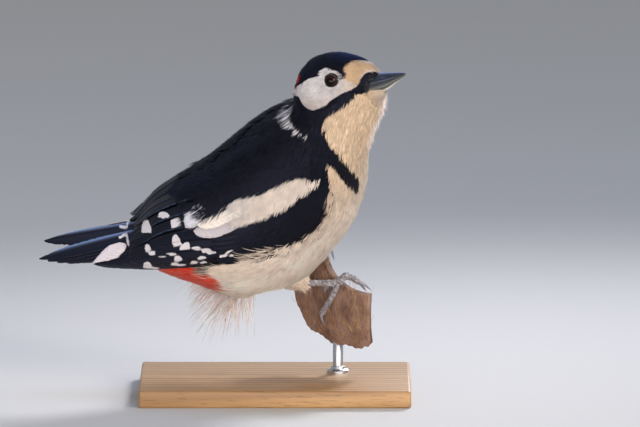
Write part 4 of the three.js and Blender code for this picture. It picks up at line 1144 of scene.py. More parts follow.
class WOODPECKER_OT_skin(bpy.types.Operator):
    """One skin over the body, neck, head and thighs, inside the coat"""
    bl_idname = "woodpecker.skin"
    bl_label = "Skin"

    def execute(self, context):
        body_in, head_in = coat_depth("body"), coat_depth("head")
        turns = np.linspace(0, 360, 64, endpoint=False)
        side = np.where(turns <= 180, -1.0, 1.0)
        phi = np.where(turns <= 180, turns, 360 - turns)
        body = [flesh_surface(np.full(64, s), phi, side, -body_in)
                for s in np.linspace(RUMP_START + 0.15, NECK_TOP, 110)]
        head = [head_surface(np.full(64, a), phi, side, -head_in)
                for a in np.linspace(0.0, len(HEAD) - 1.0, 60)]
        forms = [tube(body), tube(head)]
        for sign, _ in SIDES:
            round_it = np.linspace(0, 360, 48, endpoint=False)
            forms.append(tube([thigh_surface(np.full(48, a), round_it, np.full(48, sign),
                                             -body_in * 0.5) for a in np.linspace(0.02, 1.0, 24)]))
        points, faces = joined(forms)
        made = mesh_piece("skin_form", bird_to_row(points), faces, skin_material())
        remesh = made.modifiers.new("fuse", "REMESH")
        remesh.mode = "VOXEL"
        remesh.voxel_size = SKIN_VOXEL * MM
        smooth = made.modifiers.new("relax", "SMOOTH")
        smooth.factor = 0.5
        smooth.iterations = 5
        skin = evaluated(made, "skin")
        co = np.zeros(len(skin.data.vertices) * 3, np.float32)
        skin.data.vertices.foreach_get("co", co)
        p = row_to_bird(co.reshape(-1, 3) / MM)
        rng = draws(1)
        colour, _ = body_colour(p, rng, 0.2)
        on_head = head_gap(p) < 1.0
        colour[on_head] = head_colour(p[on_head], rng, 0.1)[0]
        paint(skin.data, colour)
        skin.data.polygons.foreach_set("use_smooth", np.ones(len(skin.data.polygons), bool))
        finish_piece(skin, "cream_feather", "torso", "neck", "head", "rump", "thigh_right",
                     "thigh_left")
        return {"FINISHED"}


# ------------------------------------------------------------------ body coat

def wing_edge(s):
    """Turn at which the pale flank meets the dark wing."""
    return along(WING_LOW, s) + along(BARE_EDGE, s)


def under_wing(s, phi):
    return (s < 9.2) & (phi > along(WING_TOP, s) + 5) & (phi < wing_edge(s) - 1)


def droop(angle):
    """A lie that turns from straight back towards the belly by an angle."""
    def lie(root, heading, normal, down):
        c, s = math.cos(math.radians(angle)), math.sin(math.radians(angle))
        return heading * c + down * s
    return lie


def raised(angles):
    """A lie that turns each feather up towards the wing by its own angle."""
    def lie(root, heading, normal, down):
        rise = np.radians(angles)[:, None]
        return heading * np.cos(rise) - down * np.sin(rise)
    return lie


class WOODPECKER_OT_body_coat(bpy.types.Operator):
    """Contour feathers of the back, neck, breast and belly"""
    bl_idname = "woodpecker.body_coat"
    bl_label = "Body coat"

    # name, stations, turns, spacing, length, width, barbs, fan, lifts, looseness, sway, ruffle
    TRACTS = (
        ("mantle", (4.2, 9.8), (0, 80), 3.5, 13.0, 7.6, 11, 22, (-0.9, -0.2, 0.25), 2.5, 5, 0.16),
        ("nape", (9.8, 14.2), (0, 96), 2.7, 8.5, 5.4, 10, 20, (-0.9, -0.2, 0.3), 3.5, 6, 0.16),
        ("rump", (2.0, 4.4), (0, 60), 3.3, 11.0, 6.5, 9, 24, (-0.9, -0.2, 0.2), 3.0, 5, 0.14),
        ("throat", (9.8, 14.7), (96, 180), 2.2, 8.5, 4.0, 10, 11, (-0.8, 0.0, 0.35), 4.0, 9, 0.16),
        ("breast", (7.6, 9.8), (78, 180), 2.65, 13.0, 5.0, 12, 11, (-0.8, 0.0, 0.4), 4.0, 12, 0.18),
        ("belly", (3.4, 7.6), (80, 180), 3.1, 16.5, 5.4, 12, 11, (-0.8, 0.0, 0.5), 4.5, 14, 0.2),
        ("vent", (1.95, 3.4), (98, 180), 2.4, 12.0, 4.6, 12, 14, (-0.8, 0.0, 0.6), 6.0, 12, 0.3),
    )

    def execute(self, context):
        stuff = feather_set()
        depth = coat_depth("body")
        for index, (name, stations, turns, spacing, length, width, barbs, fan, lifts,
                    loose, sway, ruffle) in enumerate(self.TRACTS):
            pale = name in ("throat", "breast", "belly", "vent")
            for side, half in SIDES:
                rng = draws(20 + index * 2 + int(side > 0))
                a, b = staggered(flesh_surface, stations, turns, spacing, side, rng)
                keep = ~under_wing(a, b)
                if name in ("nape", "throat"):
                    roots = flesh_surface(a, b, np.full(len(a), side), -1.0)
                    keep &= head_gap(roots) >= -3.0
                a, b = a[keep], b[keep]
                growth = grow(flesh_surface, a, b, side, rng, length, width, barbs, fan=fan,
                              depth=depth + 0.3, lifts=lifts, loose=loose,
                              lie=droop(8 if name in ("breast", "belly") else 0),
                              colour=all_black if name in ("mantle", "rump") else body_colour,
                              sway=sway, ruffle=ruffle,
                              painted_streaks=0.17 if pale else 0.0, overlap=1.15 if pale else 1.5,
                              barb_tone=0.085 if pale else 0.06)
                lay_coat(f"{name}_{{}}_{half}", [growth], stuff, "cream_feather")
        return {"FINISHED"}


class WOODPECKER_OT_flank_fringe(bpy.types.Operator):
    """Long hairy flank feathers that lap up over the wing's lower edge, and the thighs"""
    bl_idname = "woodpecker.flank_fringe"
    bl_label = "Flank fringe and thighs"

    def execute(self, context):
        stuff = feather_set()
        for side, label in SIDES:
            rng = draws(60 + int(side > 0))
            made = []
            # stations, count, turns below the wing, length, width, barbs, rise, lifts
            for stations, count, below, length, width, barbs, rise, lifts in (
                    ((5.1, 7.2), 230, (6, 17), 13.5, 3.0, 9, 6, (0.0, 0.7, 1.0)),
                    ((5.9, 7.5), 64, (-1, 7), 13.0, 0.46, 2, 30, (0.6, 1.9, 2.3)),
                    ((7.2, 9.5), 260, (-1.0, 8.0), 7.5, 2.6, 8, 5, (0.0, 0.7, 1.0))):
                s = rng.uniform(*stations, count)
                phi = wing_edge(s) + rng.uniform(*below, count)
                upward = raised(rise + rng.normal(0, 4, count))
                made.append(grow(body_surface, s, phi, side, rng, length, width, barbs, fan=9,
                                 depth=2.0, lifts=lifts, loose=6.0, lie=upward,
                                 colour=pale_only, painted_streaks=0.12, ruffle=0.3, overlap=1.0))
            piece = coat_piece(f"flank_fringe_{label}", made, stuff["pale"])
            finish_piece(piece, "cream_feather")
            a, b = staggered(thigh_surface, (0.1, 0.85), (0, 360), 2.2, side, rng)
            thigh = grow(thigh_surface, a, b, side, rng, 8.0, 3.6, 9, fan=16, depth=2.0,
                         lifts=(-0.6, 0.0, 0.5), loose=7.0, colour=tuft_colour, painted_streaks=0.1,
                         ruffle=0.3, overlap=1.2)
            # Loose tuft over the heel
            a, b = rng.uniform(0.3, 0.75, 70), rng.uniform(0, 360, 70)
            tuft = grow(thigh_surface, a, b, side, rng, 14.0, 2.0, 5, fan=9, depth=1.0,
                        lifts=(0.1, 0.8, 1.3), loose=6.0, colour=tuft_colour, ruffle=0.4,
                        overlap=0.8)
            piece = coat_piece(f"thigh_coat_{label}", [thigh, tuft], stuff["pale"])
            finish_piece(piece, "cream_feather")
        return {"FINISHED"}


def pale_only(p, rng, fuzz):
    """Body colours with the dark plumage left pale."""
    tones = palette()
    at = side_view(p)
    # Painted shade: the fringe takes 0.88 of the body's colours, darker than the same plumage
    # beside it
    colour = breast_to_belly(tones, at) * 0.88
    red = rng.random(p.shape[:-1]) < smoothstep(0.0, 5.0, depth_within(VENT, at))
    colour[red] = tones["vent"]
    return colour, np.zeros(p.shape[:-1], bool)


def tuft_colour(p, rng, fuzz):
    tones = palette()
    share = rng.uniform(0.0, 1.0, p.shape[:-1])
    warm = tones["breast"] * (0.45, 0.36, 0.33)
    return blend(warm, tones["belly"], share ** 0.6), np.zeros(p.shape[:-1], bool)


def all_black(p, rng, fuzz):
    return (np.broadcast_to(palette()["black"], p.shape).copy(), np.ones(p.shape[:-1], bool))


class WOODPECKER_OT_vent_down(bpy.types.Operator):
    """Loose wisps of down that hang under the vent"""
    bl_idname = "woodpecker.vent_down"
    bl_label = "Vent down"

    # stations, turns, count, shortest, longest, how far back the tip is carried, lean outwards
    WISPS = (((3.9, 4.6), (142, 180), 130, 8.0, 22.0, 0.95, 0.1),
             ((4.4, 5.1), (136, 180), 170, 10.0, 30.0, 0.7, 0.1),
             ((4.8, 5.4), (138, 180), 90, 8.0, 24.0, 0.15, 0.1),
             ((5.2, 7.3), (140, 172), 420, 1.8, 4.0, 0.9, 0.5))

    def execute(self, context):
        stuff = feather_set()
        rng = draws(80)
        tones = palette()
        roll = math.radians(BODY_ROLL)
        hang = np.array((0.0, -math.sin(roll), -math.cos(roll)))
        hairs, tints, places = [], [], []
        for stations, turns, count, short, long, back, lean in self.WISPS:
            a, b = rng.uniform(*stations, count), rng.uniform(*turns, count)
            side = rng.choice((-1.0, 1.0), count)
            root = flesh_surface(a, b, side, -1.6)
            out = unit(flesh_surface(a, b, side, 1.0) - root)
            for k in range(count):
                reach = rng.uniform(short, long)
                carried = rng.normal(back, 0.28)
                way = unit(np.array((-carried, rng.normal(0, 0.2), 0)) + hang * 0.55 + out[k] * lean
                           + rng.normal(0, 0.1, 3))
                half = rng.uniform(0.1, 0.16) if long < 8 else rng.uniform(0.14, 0.3)
                hairs.append(hair(root[k], way, reach, half, hang * reach * rng.uniform(0.0, 0.35)
                                  + rng.normal(0, 0.07, 3) * reach))
                red = rng.random() < (0.2 if long < 8 else 0.04)
                base = blend(tones["belly"], tones["white"], rng.uniform(0.0, 0.7))
                tints.append(blend(base, tones["vent"], 0.6 if red else 0.03)
                             * rng.uniform(0.86, 1.12))
                places.append((0.5 + side[k] * b[k] / 400, a[k] / 16))
        piece = coat_piece("vent_down", [hair_growth(hairs, tints, places, np.zeros(len(hairs)))],
                           stuff["down"])
        finish_piece(piece, "white_feather")
        return {"FINISHED"}


# ------------------------------------------------------------------ head

EYES = [head_to_bird(EYE_PLACE * np.array((1, s, 1))) for s in (-1, 1)]


def round_the_eye(root, heading, normal, down):
    """The face's lie: back from the bill, and outwards round each eye."""
    way = heading + down * 0.18
    for eye in EYES:
        out = root - eye
        gap = np.linalg.norm(out, axis=-1, keepdims=True)
        share = 1 - smoothstep(5.0, 8.5, gap)
        way = way * (1 - share) + unit(out - dot(out, normal) * normal) * share
    return way


def inside_bill(p):
    own = bird_to_head(p)
    x = own[..., 0]
    top, low, wide = (np.interp(x, BILL[:, 0], BILL[:, k]) for k in (1, 3, 4))
    r = ((own[..., 2] - (top + low) / 2) / ((top - low) / 2)) ** 2 + (own[..., 1] / wide) ** 2
    return (r < 1) & (x > 21)


class WOODPECKER_OT_head_coat(bpy.types.Operator):
    """Small close feathers of the head, finest round the eyes and bill"""
    bl_idname = "woodpecker.head_coat"
    bl_label = "Head coat"

    # name, stations, turns, spacing, length, width, barbs, lifts
    TRACTS = (
        ("crown", (0.15, 4.2), (0, 180), 1.45, 5.2, 2.4, 8, (-0.5, -0.05, 0.28)),
        ("face", (4.2, 8.2), (0, 180), 1.15, 3.8, 1.8, 7, (-0.45, -0.05, 0.22)),
        ("muzzle", (8.2, 11.2), (0, 180), 0.95, 3.0, 1.4, 6, (-0.4, 0.0, 0.22)),
    )
    # Where the coat ends at the bill's base: height in the side view, distance along
    BILL_BASE = ((65.3, 63.0), (69.1, 65.4), (72.5, 67.8), (76.0, 71.6))

    def execute(self, context):
        stuff = feather_set()
        depth = coat_depth("head")
        for index, (name, stations, turns, spacing, length, width, barbs,
                    lifts) in enumerate(self.TRACTS):
            for side, half in SIDES:
                rng = draws(100 + index * 2 + int(side > 0))
                a, b = staggered(head_surface, stations, turns, spacing, side, rng)
                roots = head_surface(a, b, np.full(len(a), side), 0.0)
                near = np.min([np.linalg.norm(roots - eye, axis=-1) for eye in EYES], axis=0)
                keep = (near > 4.6) & (neck_gap(roots) >= -3.0) & ~inside_bill(roots)
                at = head_side_view(roots)
                over_bill = at[:, 0] > along(self.BILL_BASE, at[:, 1])
                keep &= ~(over_bill & (at[:, 1] > self.BILL_BASE[0][0]) & (at[:, 1] < 75.4))
                a, b = a[keep], b[keep]
                short = 0.5 + 0.5 * smoothstep(4.6, 9.0, near[keep])
                growth = grow(head_surface, a, b, side, rng, length * short,
                              width * (0.7 + 0.3 * short), barbs, fan=18, depth=depth + 0.1,
                              lifts=lifts, loose=4.0, camber=0.12, lie=round_the_eye,
                              colour=head_colour, fuzz=0.18, root_tone=0.8, painted_streaks=0.06,
                              sway=6, ruffle=0.12, overlap=1.3,
                              unwrap=lambda a, b, side: (0.5 + side * b / 400, a / 12))
                lay_coat(f"{name}_{{}}_{half}", [growth], stuff)
        return {"FINISHED"}


class WOODPECKER_OT_bristles(bpy.types.Operator):
    """Nasal tufts over the bill's base and the bristly chin"""
    bl_idname = "woodpecker.bristles"
    bl_label = "Nasal tufts and chin"

    def execute(self, context):
        stuff = feather_set()
        tones = palette()
        rng = draws(120)
        hairs, tints, places, dark = [], [], [], []

        def add(own_root, own_way, reach, half, tint, is_dark, sag):
            own = hair(own_root, own_way, reach, half, (0.0, 0.0, -sag))
            hairs.append(head_to_bird(own))
            tints.append(tint * rng.uniform(0.85, 1.12))
            places.append((0.5 + own_root[1] / 40, 0.95 + own_root[2] / 400))
            dark.append(is_dark)

        # Nasal tufts, which end on a slant from the culmen down to the gape
        for _ in range(950):
            side = rng.choice((-1, 1))
            low = rng.random()
            reach = rng.uniform(3.2, 5.6)
            x = 24.6 - 8.0 * low ** 0.8 - reach + rng.normal(0, 0.55)
            z = -2.6 - 10.5 * low
            y = side * (2.0 + 3.4 * rng.random() ** 0.5 + 1.4 * low + max(0.0, 20 - x) * 0.1)
            way = unit(np.array((1.0, side * rng.normal(-0.08, 0.05), -0.12 + rng.normal(0, 0.07))))
            # A few bristles are paler grey: painted highlights on the black tufts
            tint = blend(tones["black"], tones["white"], rng.choice((0.0, 0.0, 0.0, 0.06, 0.22)))
            add(np.array((x, y, z)), way, reach, 0.12, tint, True, 0.2)
        # Chin, in the fork of the lower mandible
        for _ in range(420):
            side = rng.choice((-1, 1))
            y = side * abs(rng.normal(0, 2.2))
            drop = rng.random()
            root = np.array((25.0 - 4.6 * drop + rng.normal(0, 0.5) - 0.25 * abs(y), y,
                             -15.2 - 4.6 * drop + 0.1 * abs(y)))
            way = unit(np.array((0.75 + rng.normal(0, 0.15), side * 0.1 + rng.normal(0, 0.15),
                                 -0.5 + rng.normal(0, 0.25))))
            tint = blend(tones["breast"], tones["white"], rng.uniform(0.1, 0.8))
            add(root, way, rng.uniform(1.6, 3.6), 0.09, tint, False, rng.uniform(-0.2, 0.5))
        # Loose fringe down the front of the throat
        count = 800
        a, b = rng.uniform(11.4, 14.7, count), rng.uniform(148, 180, count)
        sides = rng.choice((-1.0, 1.0), count)
        root = body_surface(a, b, sides, -0.6)
        out = unit(body_surface(a, b, sides, 1.0) - root)
        down = unit(body_surface(a - 0.1, b, sides, -0.6) - root)
        for k in range(count):
            way = unit(out[k] * rng.uniform(0.3, 0.95) + down[k] + rng.normal(0, 0.16, 3))
            hairs.append(hair(root[k], way, rng.uniform(2.6, 5.6), 0.1,
                              down[k] * rng.uniform(0, 0.8)))
            # Made brighter than the white itself: painted rim light along the throat's front
            tints.append(blend(tones["breast"], tones["white"], rng.uniform(0.6, 1.0)) * 1.35)
            places.append((0.5 + sides[k] * b[k] / 400, a[k] / 16))
            dark.append(False)
        lay_coat("bristles_{}", [hair_growth(hairs, tints, places, dark)], stuff)
        return {"FINISHED"}


def eyeball(side, label, wet):
    """The ball's pole looks straight out of the head, with the cornea a little proud."""
    place = EYE_PLACE * (1, side, 1)
    theta = np.linspace(0.02, math.pi - 0.02, 40)
    turn = np.linspace(0, 2 * math.pi, 56, endpoint=False)
    r = EYE_RADIUS * (1 + 0.05 * np.exp(-(theta / 0.75) ** 2))
    rings = np.stack([np.outer(r * np.sin(theta), np.cos(turn)),
                      np.outer(r * np.cos(theta), np.ones(56)) * side,
                      np.outer(r * np.sin(theta), np.sin(turn))], -1)
    points, faces = tube(rings + place)
    uv = np.stack([np.append(np.tile(turn / (2 * math.pi), 40), (0, 0)),
                   np.append(np.repeat(theta, 56), (0, math.pi)) / 1.9], -1)
    piece = mesh_piece(f"eyeball_{label}", bird_to_row(head_to_bird(points)), faces, wet,
                       uvs={"Eye": uv})
    finish_piece(piece, "eye", f"eye_{label}")


def eyelid(side, label, skin):
    """A beaded ring a little proud of the ball."""
    f = np.linspace(0, 2 * math.pi, 72, endpoint=False)[:, None]
    g = np.linspace(0, 2 * math.pi, 12, endpoint=False)
    beads = 1 + 0.12 * np.sin(f * 24)
    away = 3.98 + 0.3 * beads * np.cos(g)
    proud = side * 2.6 + 0.32 * beads * np.sin(g)
    points = (np.stack([away * np.cos(f), proud, away * np.sin(f)], -1)
              + EYE_PLACE * (1, side, 1)).reshape(-1, 3)
    i = np.arange(len(points)).reshape(72, 12)
    j = np.roll(i, -1, 0)
    quads = [i, np.roll(i, -1, 1), np.roll(j, -1, 1), j]
    faces = np.vstack([np.stack([quads[k] for k in corners], -1).reshape(-1, 3)
                       for corners in ((0, 1, 2), (0, 2, 3))])
    piece = mesh_piece(f"eyelid_{label}", bird_to_row(head_to_bird(points)),
                       outward(points, faces), skin)
    finish_piece(piece, "leg_skin")


class WOODPECKER_OT_eyes(bpy.types.Operator):
    """Eyeballs with iris and pupil, and the bare lid round each"""
    bl_idname = "woodpecker.eyes"
    bl_label = "Eyes"

    def execute(self, context):
        look = bpy.context.scene.woodpecker_bare
        wet = eye_material(tuple(look.iris), linear("#060405"))
        # Fine wrinkles, half a millimetre apart
        lid_skin = mottled_material("eyelid_skin", 0.5, linear("#141114"), linear("#4A4244"),
                                    0.35, 0.7, Roughness=0.55, Subsurface_Weight=0.1,
                                    Subsurface_Scale=0.001)
        for side, label in SIDES:
            eyeball(side, label, wet)
            eyelid(side, label, lid_skin)
        return {"FINISHED"}


# Half of a mandible's section: share of the half width, share of the height from the mouth line
UPPER_PROFILE = ((0.0, 1.0), (0.13, 0.965), (0.3, 0.86), (0.52, 0.7), (0.72, 0.56), (0.85, 0.42),
                 (0.95, 0.26), (1.0, 0.12), (0.955, 0.0))
LOWER_PROFILE = ((0.95, 0.0), (0.93, 0.2), (0.84, 0.42), (0.7, 0.6), (0.52, 0.78), (0.3, 0.92),
                 (0.0, 1.0))


def mandible(upper, horn, slate, pale):
    """One half of the bill."""
    half = np.array(UPPER_PROFILE if upper else LOWER_PROFILE)
    half = read_rows(half, np.linspace(0, len(half) - 1, 22))
    # The point in the middle of the keel or culmen comes once
    other = half[::-1] * (-1, 1)
    profile = np.vstack([half, other[:-1] if upper else other[1:]])
    rings, tints, uv = [], [], []
    for at in np.linspace(0.4, len(BILL) - 1.0, 90):
        x, culmen, mouth, keel, wide = read_rows(BILL, at)
        lift = 0.7 + 0.7 * smoothstep(22, 40, x)
        keel = keel + lift * 0.6 - 1.2 * (1 - smoothstep(26, 34, x))
        culmen, mouth, x = culmen + lift, mouth + lift, x * 1.012
        low, high = (mouth + 0.12, culmen) if upper else (mouth - 0.12, keel)
        across, tall = profile.T
        y = across * wide
        z = low + (high - low) * tall
        groove = math.exp(-((x - 27.0) / 5.0) ** 4)
        side_dip = np.exp(-((tall - 0.5) / 0.12) ** 2) * groove * 0.32 * upper
        slit = (np.exp(-((tall - 0.5) / 0.07) ** 2)
                * math.exp(-((x - 27.6) / 1.3) ** 4) * 0.6 * upper)
        y = y - np.sign(across) * (side_dip + slit)
        rings.append(np.stack([np.full(len(y), x), y, z], -1))
        tip = smoothstep(31, 39, x)
        # Painted highlight: the upper mandible turns blue and a little paler towards the culmen, as
        # a reflection of the sky
        dark = blend(slate, rgb("#6C80B4"),
                     0.5 * upper * smoothstep(0.72, 0.97, tall))
        dark = dark * (1 - 0.35 * tip)
        if upper:
            share = 0.16 * smoothstep(0.82, 0.98, tall) + 0.10 * smoothstep(0.2, 0.0, tall)
        else:
            stripe = np.exp(-((tall - 0.4) / 0.16) ** 2) * 0.2
            share = stripe + smoothstep(0.62, 0.9, tall) * (0.95 - 0.5 * tip)
        tints.append(blend(dark, pale, share))
        uv.append(np.stack([np.full(len(y), x / 10), tall * 0.6 + 0.05 * np.sign(y)], -1))
    points, faces = tube(rings)
    tints = np.vstack([np.vstack(tints), slate, slate * 0.6])
    uv = np.vstack([np.vstack(uv), (0, 0), (4, 0)])
    name = "mandible_upper" if upper else "mandible_lower"
    piece = mesh_piece(name, bird_to_row(head_to_bird(points)), faces, horn,
                       colours=tints, uvs={"Along": uv})
    piece.data.set_sharp_from_angle(angle=math.radians(50))
    finish_piece(piece, "horn", "bill_upper" if upper else "bill_lower")


class WOODPECKER_OT_bill(bpy.types.Operator):
    """The two mandibles, with culmen ridge, nostril groove and cutting edges"""
    bl_idname = "woodpecker.bill"
    bl_label = "Bill"

    def execute(self, context):
        look = bpy.context.scene.woodpecker_bare
        horn = horn_material("bill_horn", linear("#14161C"), linear("#8F99B4"), 0.3)
        slate, pale = np.array(look.bill[:3]), np.array(look.bill_pale[:3])
        for upper in (True, False):
            mandible(upper, horn, slate, pale)
        return {"FINISHED"}


# ------------------------------------------------------------------ wings and tail

def lie_path(start, end, lifts, count, side, bow=0.0, surface=body_surface):
    """Points, normals and headings of a feather that lies along the body."""
    u = np.linspace(0, 1, count)
    s = start[0] + (end[0] - start[0]) * u
    phi = start[1] + (end[1] - start[1]) * u + bow * np.sin(np.pi * u)
    lift = lifts[0] + (lifts[1] - lifts[0]) * u
    p = surface(s, phi, np.full(count, side), lift)
    n = unit(surface(s, phi, np.full(count, side), lift + 1.0) - p)
    t = unit(np.gradient(p, axis=0))
    return p, unit(n - dot(n, t) * t), t


# Half width along a vane, and the places of its points from one web's edge to the other's
FLIGHT_OUTLINE = ((0, 0.55), (0.2, 0.9), (0.6, 1), (0.82, 0.9), (0.93, 0.66), (0.985, 0.3),
                  (1, 0.04))
VANE_COLUMNS = np.array((-1, -0.86, -0.7, -0.52, -0.34, -0.18, -0.07, -0.03, 0, 0.03, 0.07, 0.18,
                         0.34, 0.52, 0.7, 0.86, 1))


def vane(path, left, right, rng, tilt=0.0, thick=0.42, shaft=0.34, camber=0.35,
         outline=FLIGHT_OUTLINE, splits=5):
    """A closed feather vane with a raised shaft, cambered webs and a few split barbs."""
    p, n, t = path
    count = len(p)
    u = np.linspace(0, 1, count)
    across = np.cross(t, n)
    turn = np.radians(tilt)
    across = across * math.cos(turn) + np.cross(t, across) * math.sin(turn)
    up = np.cross(across, t)
    shape = along(outline, u)
    widths = {-1: left * shape, 1: right * shape}
    for sign in (-1, 1):
        for _ in range(splits):
            at = rng.uniform(0.35, 0.97)
            deep = rng.uniform(0.06, 0.2)
            widths[sign] = widths[sign] * (1 - deep * np.exp(-((u - at) / 0.006) ** 2))
        widths[sign] = widths[sign] * (1 + 0.012 * np.sin(u * 95 + sign))
    columns = VANE_COLUMNS
    rachis = np.exp(-(columns / 0.05) ** 2) * shaft
    edge = 1 - 0.75 * np.abs(columns) ** 6
    taper = (1 - 0.6 * smoothstep(0.9, 1.0, u))[:, None]
    out = np.where(columns[None] < 0, widths[-1][:, None], widths[1][:, None]) * columns[None]
    drop = -camber * columns[None] ** 2 * np.ones((count, 1))
    top = drop + (thick / 2 * edge + rachis)[None] * taper
    low = drop - (thick / 2 * edge + rachis * 0.5)[None] * taper
    flat = p[:, None] + across[:, None] * out[..., None]
    upper = flat + up[:, None] * top[..., None]
    under = (flat + up[:, None] * low[..., None])[:, ::-4]
    points, faces = tube(np.concatenate([upper, under], 1))
    run = np.concatenate([[0], np.linalg.norm(np.diff(p, axis=0), axis=1).cumsum()])
    half = np.stack([out, np.broadcast_to(run[:, None], out.shape)], -1) / 10
    uv = np.concatenate([half, half[:, ::-4]], 1).reshape(-1, 2)
    uv = np.vstack([uv, (0, 0), (0, run[-1] / 10)])
    # An even strip of the baking map: u across both faces, v along the feather
    cells = np.concatenate([np.linspace(0, 0.5, len(columns)),
                            np.linspace(0.5, 1, under.shape[1])])
    strip = np.stack(np.broadcast_arrays(cells[None], u[:, None]), -1).reshape(-1, 2)
    strip = np.vstack([strip, (0.5, 0), (0.5, 1)])
    return points, faces, uv, strip


def vane_piece(name, vanes, stuff, colours, mark):
    """Joins vanes into one object with their colours, marks and maps."""
    points, faces = joined([v[:2] for v in vanes])
    strips = [v[3] * (0.9 / len(vanes), 0.98) + ((k + 0.05) / len(vanes), 0.01)
              for k, v in enumerate(vanes)]
    return mesh_piece(name, bird_to_row(points), faces, stuff,
                      colours=np.broadcast_to(colours, points.shape),
                      uvs={"Vane": np.vstack([v[2] for v in vanes]), "OFBake": np.vstack(strips)},
                      marks={"Mark": mark(points)})


def spot_marks(p):
    at = side_view(p)
    return np.max([depth_within(spot, at) for spot in SPOTS], axis=0)


def unmarked(p):
    return np.full(len(p), UNMARKED)


def patch_colour(p, rng, fuzz):
    """White within the shoulder patch and black round it."""
    tones = palette()
    at = side_view(p)
    at = at + rng.normal(0, fuzz, at.shape)
    inside = within(PATCH, at)
    colour = np.broadcast_to(tones["black"], p.shape).copy()
    warm = blend(tones["white"], tones["belly"], smoothstep(-30, 10, at[..., 0]) * 0.75)
    # Painted shade: the patch is dimmed to 0.9 of its white
    colour[inside] = warm[inside] * 0.9
    return colour, ~inside


# Long feathers that end the patch: root and tip in the side view, bow in degrees, webs, lifts
# and tint
LOBES = (((-24.5, 3.0), (-36.4, -13.0), 0, (4.6, 5.0), (0.2, 1.0), "#D2D2DE"),
         # This lobe's lilac grey is painted shade on white feathers
         ((-3.0, -5.0), (-32.2, -14.6), 2.6, (4.0, 4.0), (0.3, 1.3), "#C4BCC2"),
         ((3.0, 2.4), (-29.5, -11.4), -0.6, (4.0, 3.4), (0.7, 1.9), "#EDE3DA"))
LOBE_OUTLINE = ((0, 0.6), (0.3, 0.95), (0.7, 1), (0.86, 0.88), (0.95, 0.6), (1, 0.12))
COVERT_OUTLINE = ((0, 0.5), (0.3, 0.9), (0.6, 1), (0.85, 0.86), (0.95, 0.55), (1, 0.05))


def wing_arm(side, label):
    """The arm under the coverts."""
    rings = []
    for s in np.linspace(5.2, WING_FRONT - 0.05, 60):
        phi = np.linspace(along(WING_TOP, s) + 2, along(WING_LOW, s) - 2, 26)
        outer = wing_surface(np.full(26, s), phi, np.full(26, side), -1.3)
        inner = body_surface(np.full(26, s), phi[::-1], np.full(26, side), -5.3)
        rings.append(np.vstack([outer, inner]))
    points, faces = tube(rings)
    arm = mesh_piece(f"wing_arm_{label}", bird_to_row(points), faces,
                     bpy.data.materials.get("feathered_skin") or skin_material(),
                     colours=np.broadcast_to(palette()["black"], points.shape))
    finish_piece(arm, "black_feather", f"wing_{label}")


def flight_feathers(side, label, stuff, rng):
    """Primaries, secondaries and tertials with their white spots."""
    black = palette()["black"]
    vanes, shades = [], []
    # Painted highlight: the tertials take a blue reflection along their upper edge, blended into
    # their colour
    for rows, lifts, painted_gloss in ((PRIMARIES, (-3.2, -1.2), 0), (SECONDARIES, (-1.8, 0.3), 0),
                               (TERTIALS, (-1.4, 3.6), 0.12)):
        for s0, p0, s1, p1, inner, outer in rows:
            path = lie_path((s0, p0), (s1, p1), lifts, 110, side)
            webs = (inner, outer) if side < 0 else (outer, inner)
            vanes.append(vane(path, webs[0] * 1.12, webs[1] * 1.12, rng, side * -9))
            edge = side * inner * 1.12
            shine = np.exp(-((vanes[-1][2][:, 0] * 10 - edge) / 0.7) ** 2) * painted_gloss
            shades.append(blend(black, rgb(PAINTED_GLOSS), shine))
    flight = vane_piece(f"flight_feathers_{label}", vanes, stuff["vane"],
                        np.vstack(shades), spot_marks)
    finish_piece(flight, "black_feather")


def greater_coverts(side, label, stuff, rng):
    """One row of large feathers over the roots of the flight feathers."""
    vanes = []
    for phi in np.linspace(COVERTS["from"], COVERTS["to"], COVERTS["count"]):
        path = lie_path((COVERTS["root"], phi + 4), (COVERTS["tip"], phi - 2), (-1.2, 1.0),
                        40, side)
        vanes.append(vane(path, COVERTS["width"], COVERTS["width"], rng, side * -9,
                          outline=COVERT_OUTLINE))
    coverts = vane_piece(f"greater_coverts_{label}", vanes, stuff["vane"],
                         palette()["black"], spot_marks)
    finish_piece(coverts, "black_feather")


def lesser_coverts(side, label, stuff, rng):
    """Small black feathers over the arm."""
    a, b = staggered(wing_surface, (5.4, 9.62), (14, 114), 3.2, side, rng)
    keep = (b > along(WING_TOP, a) - 4) & (b < wing_edge(a) + 1)
    keep &= a > 5.4 + 0.9 * smoothstep(58, 78, b)
    growth = grow(wing_surface, a[keep], b[keep], side, rng, 11.0, 7.0, 12, fan=22,
                  depth=2.2, lifts=(-0.7, 0.0, 0.35), loose=2.5, camber=0.35,
                  colour=all_black, ruffle=0.16, overlap=1.5)
    piece = coat_piece(f"lesser_coverts_{label}", [growth], stuff["black"])
    finish_piece(piece, "black_feather")


def patch_lobes(side, label, stuff, rng):
    """The long feathers that end the white patch."""
    vanes, tints = [], []
    for root, tip, bow, webs, lifts, tint in LOBES:
        where = find_on(patch_surface, side, [root, tip], (3.4, 9.5), (20, 95))
        path = lie_path(where[:, 0], where[:, 1], lifts, 70, side, bow,
                        surface=patch_surface)
        low, high = webs if side < 0 else webs[::-1]
        vanes.append(vane(path, low, high, rng, side * -4, thick=0.36, shaft=0.12,
                          camber=0.5, splits=9, outline=LOBE_OUTLINE))
        tints.append(np.broadcast_to(rgb(tint), vanes[-1][0].shape))
    lobes = vane_piece(f"patch_lobes_{label}", vanes, stuff["white_vane"],
                       np.vstack(tints), unmarked)
    finish_piece(lobes, "white_feather")


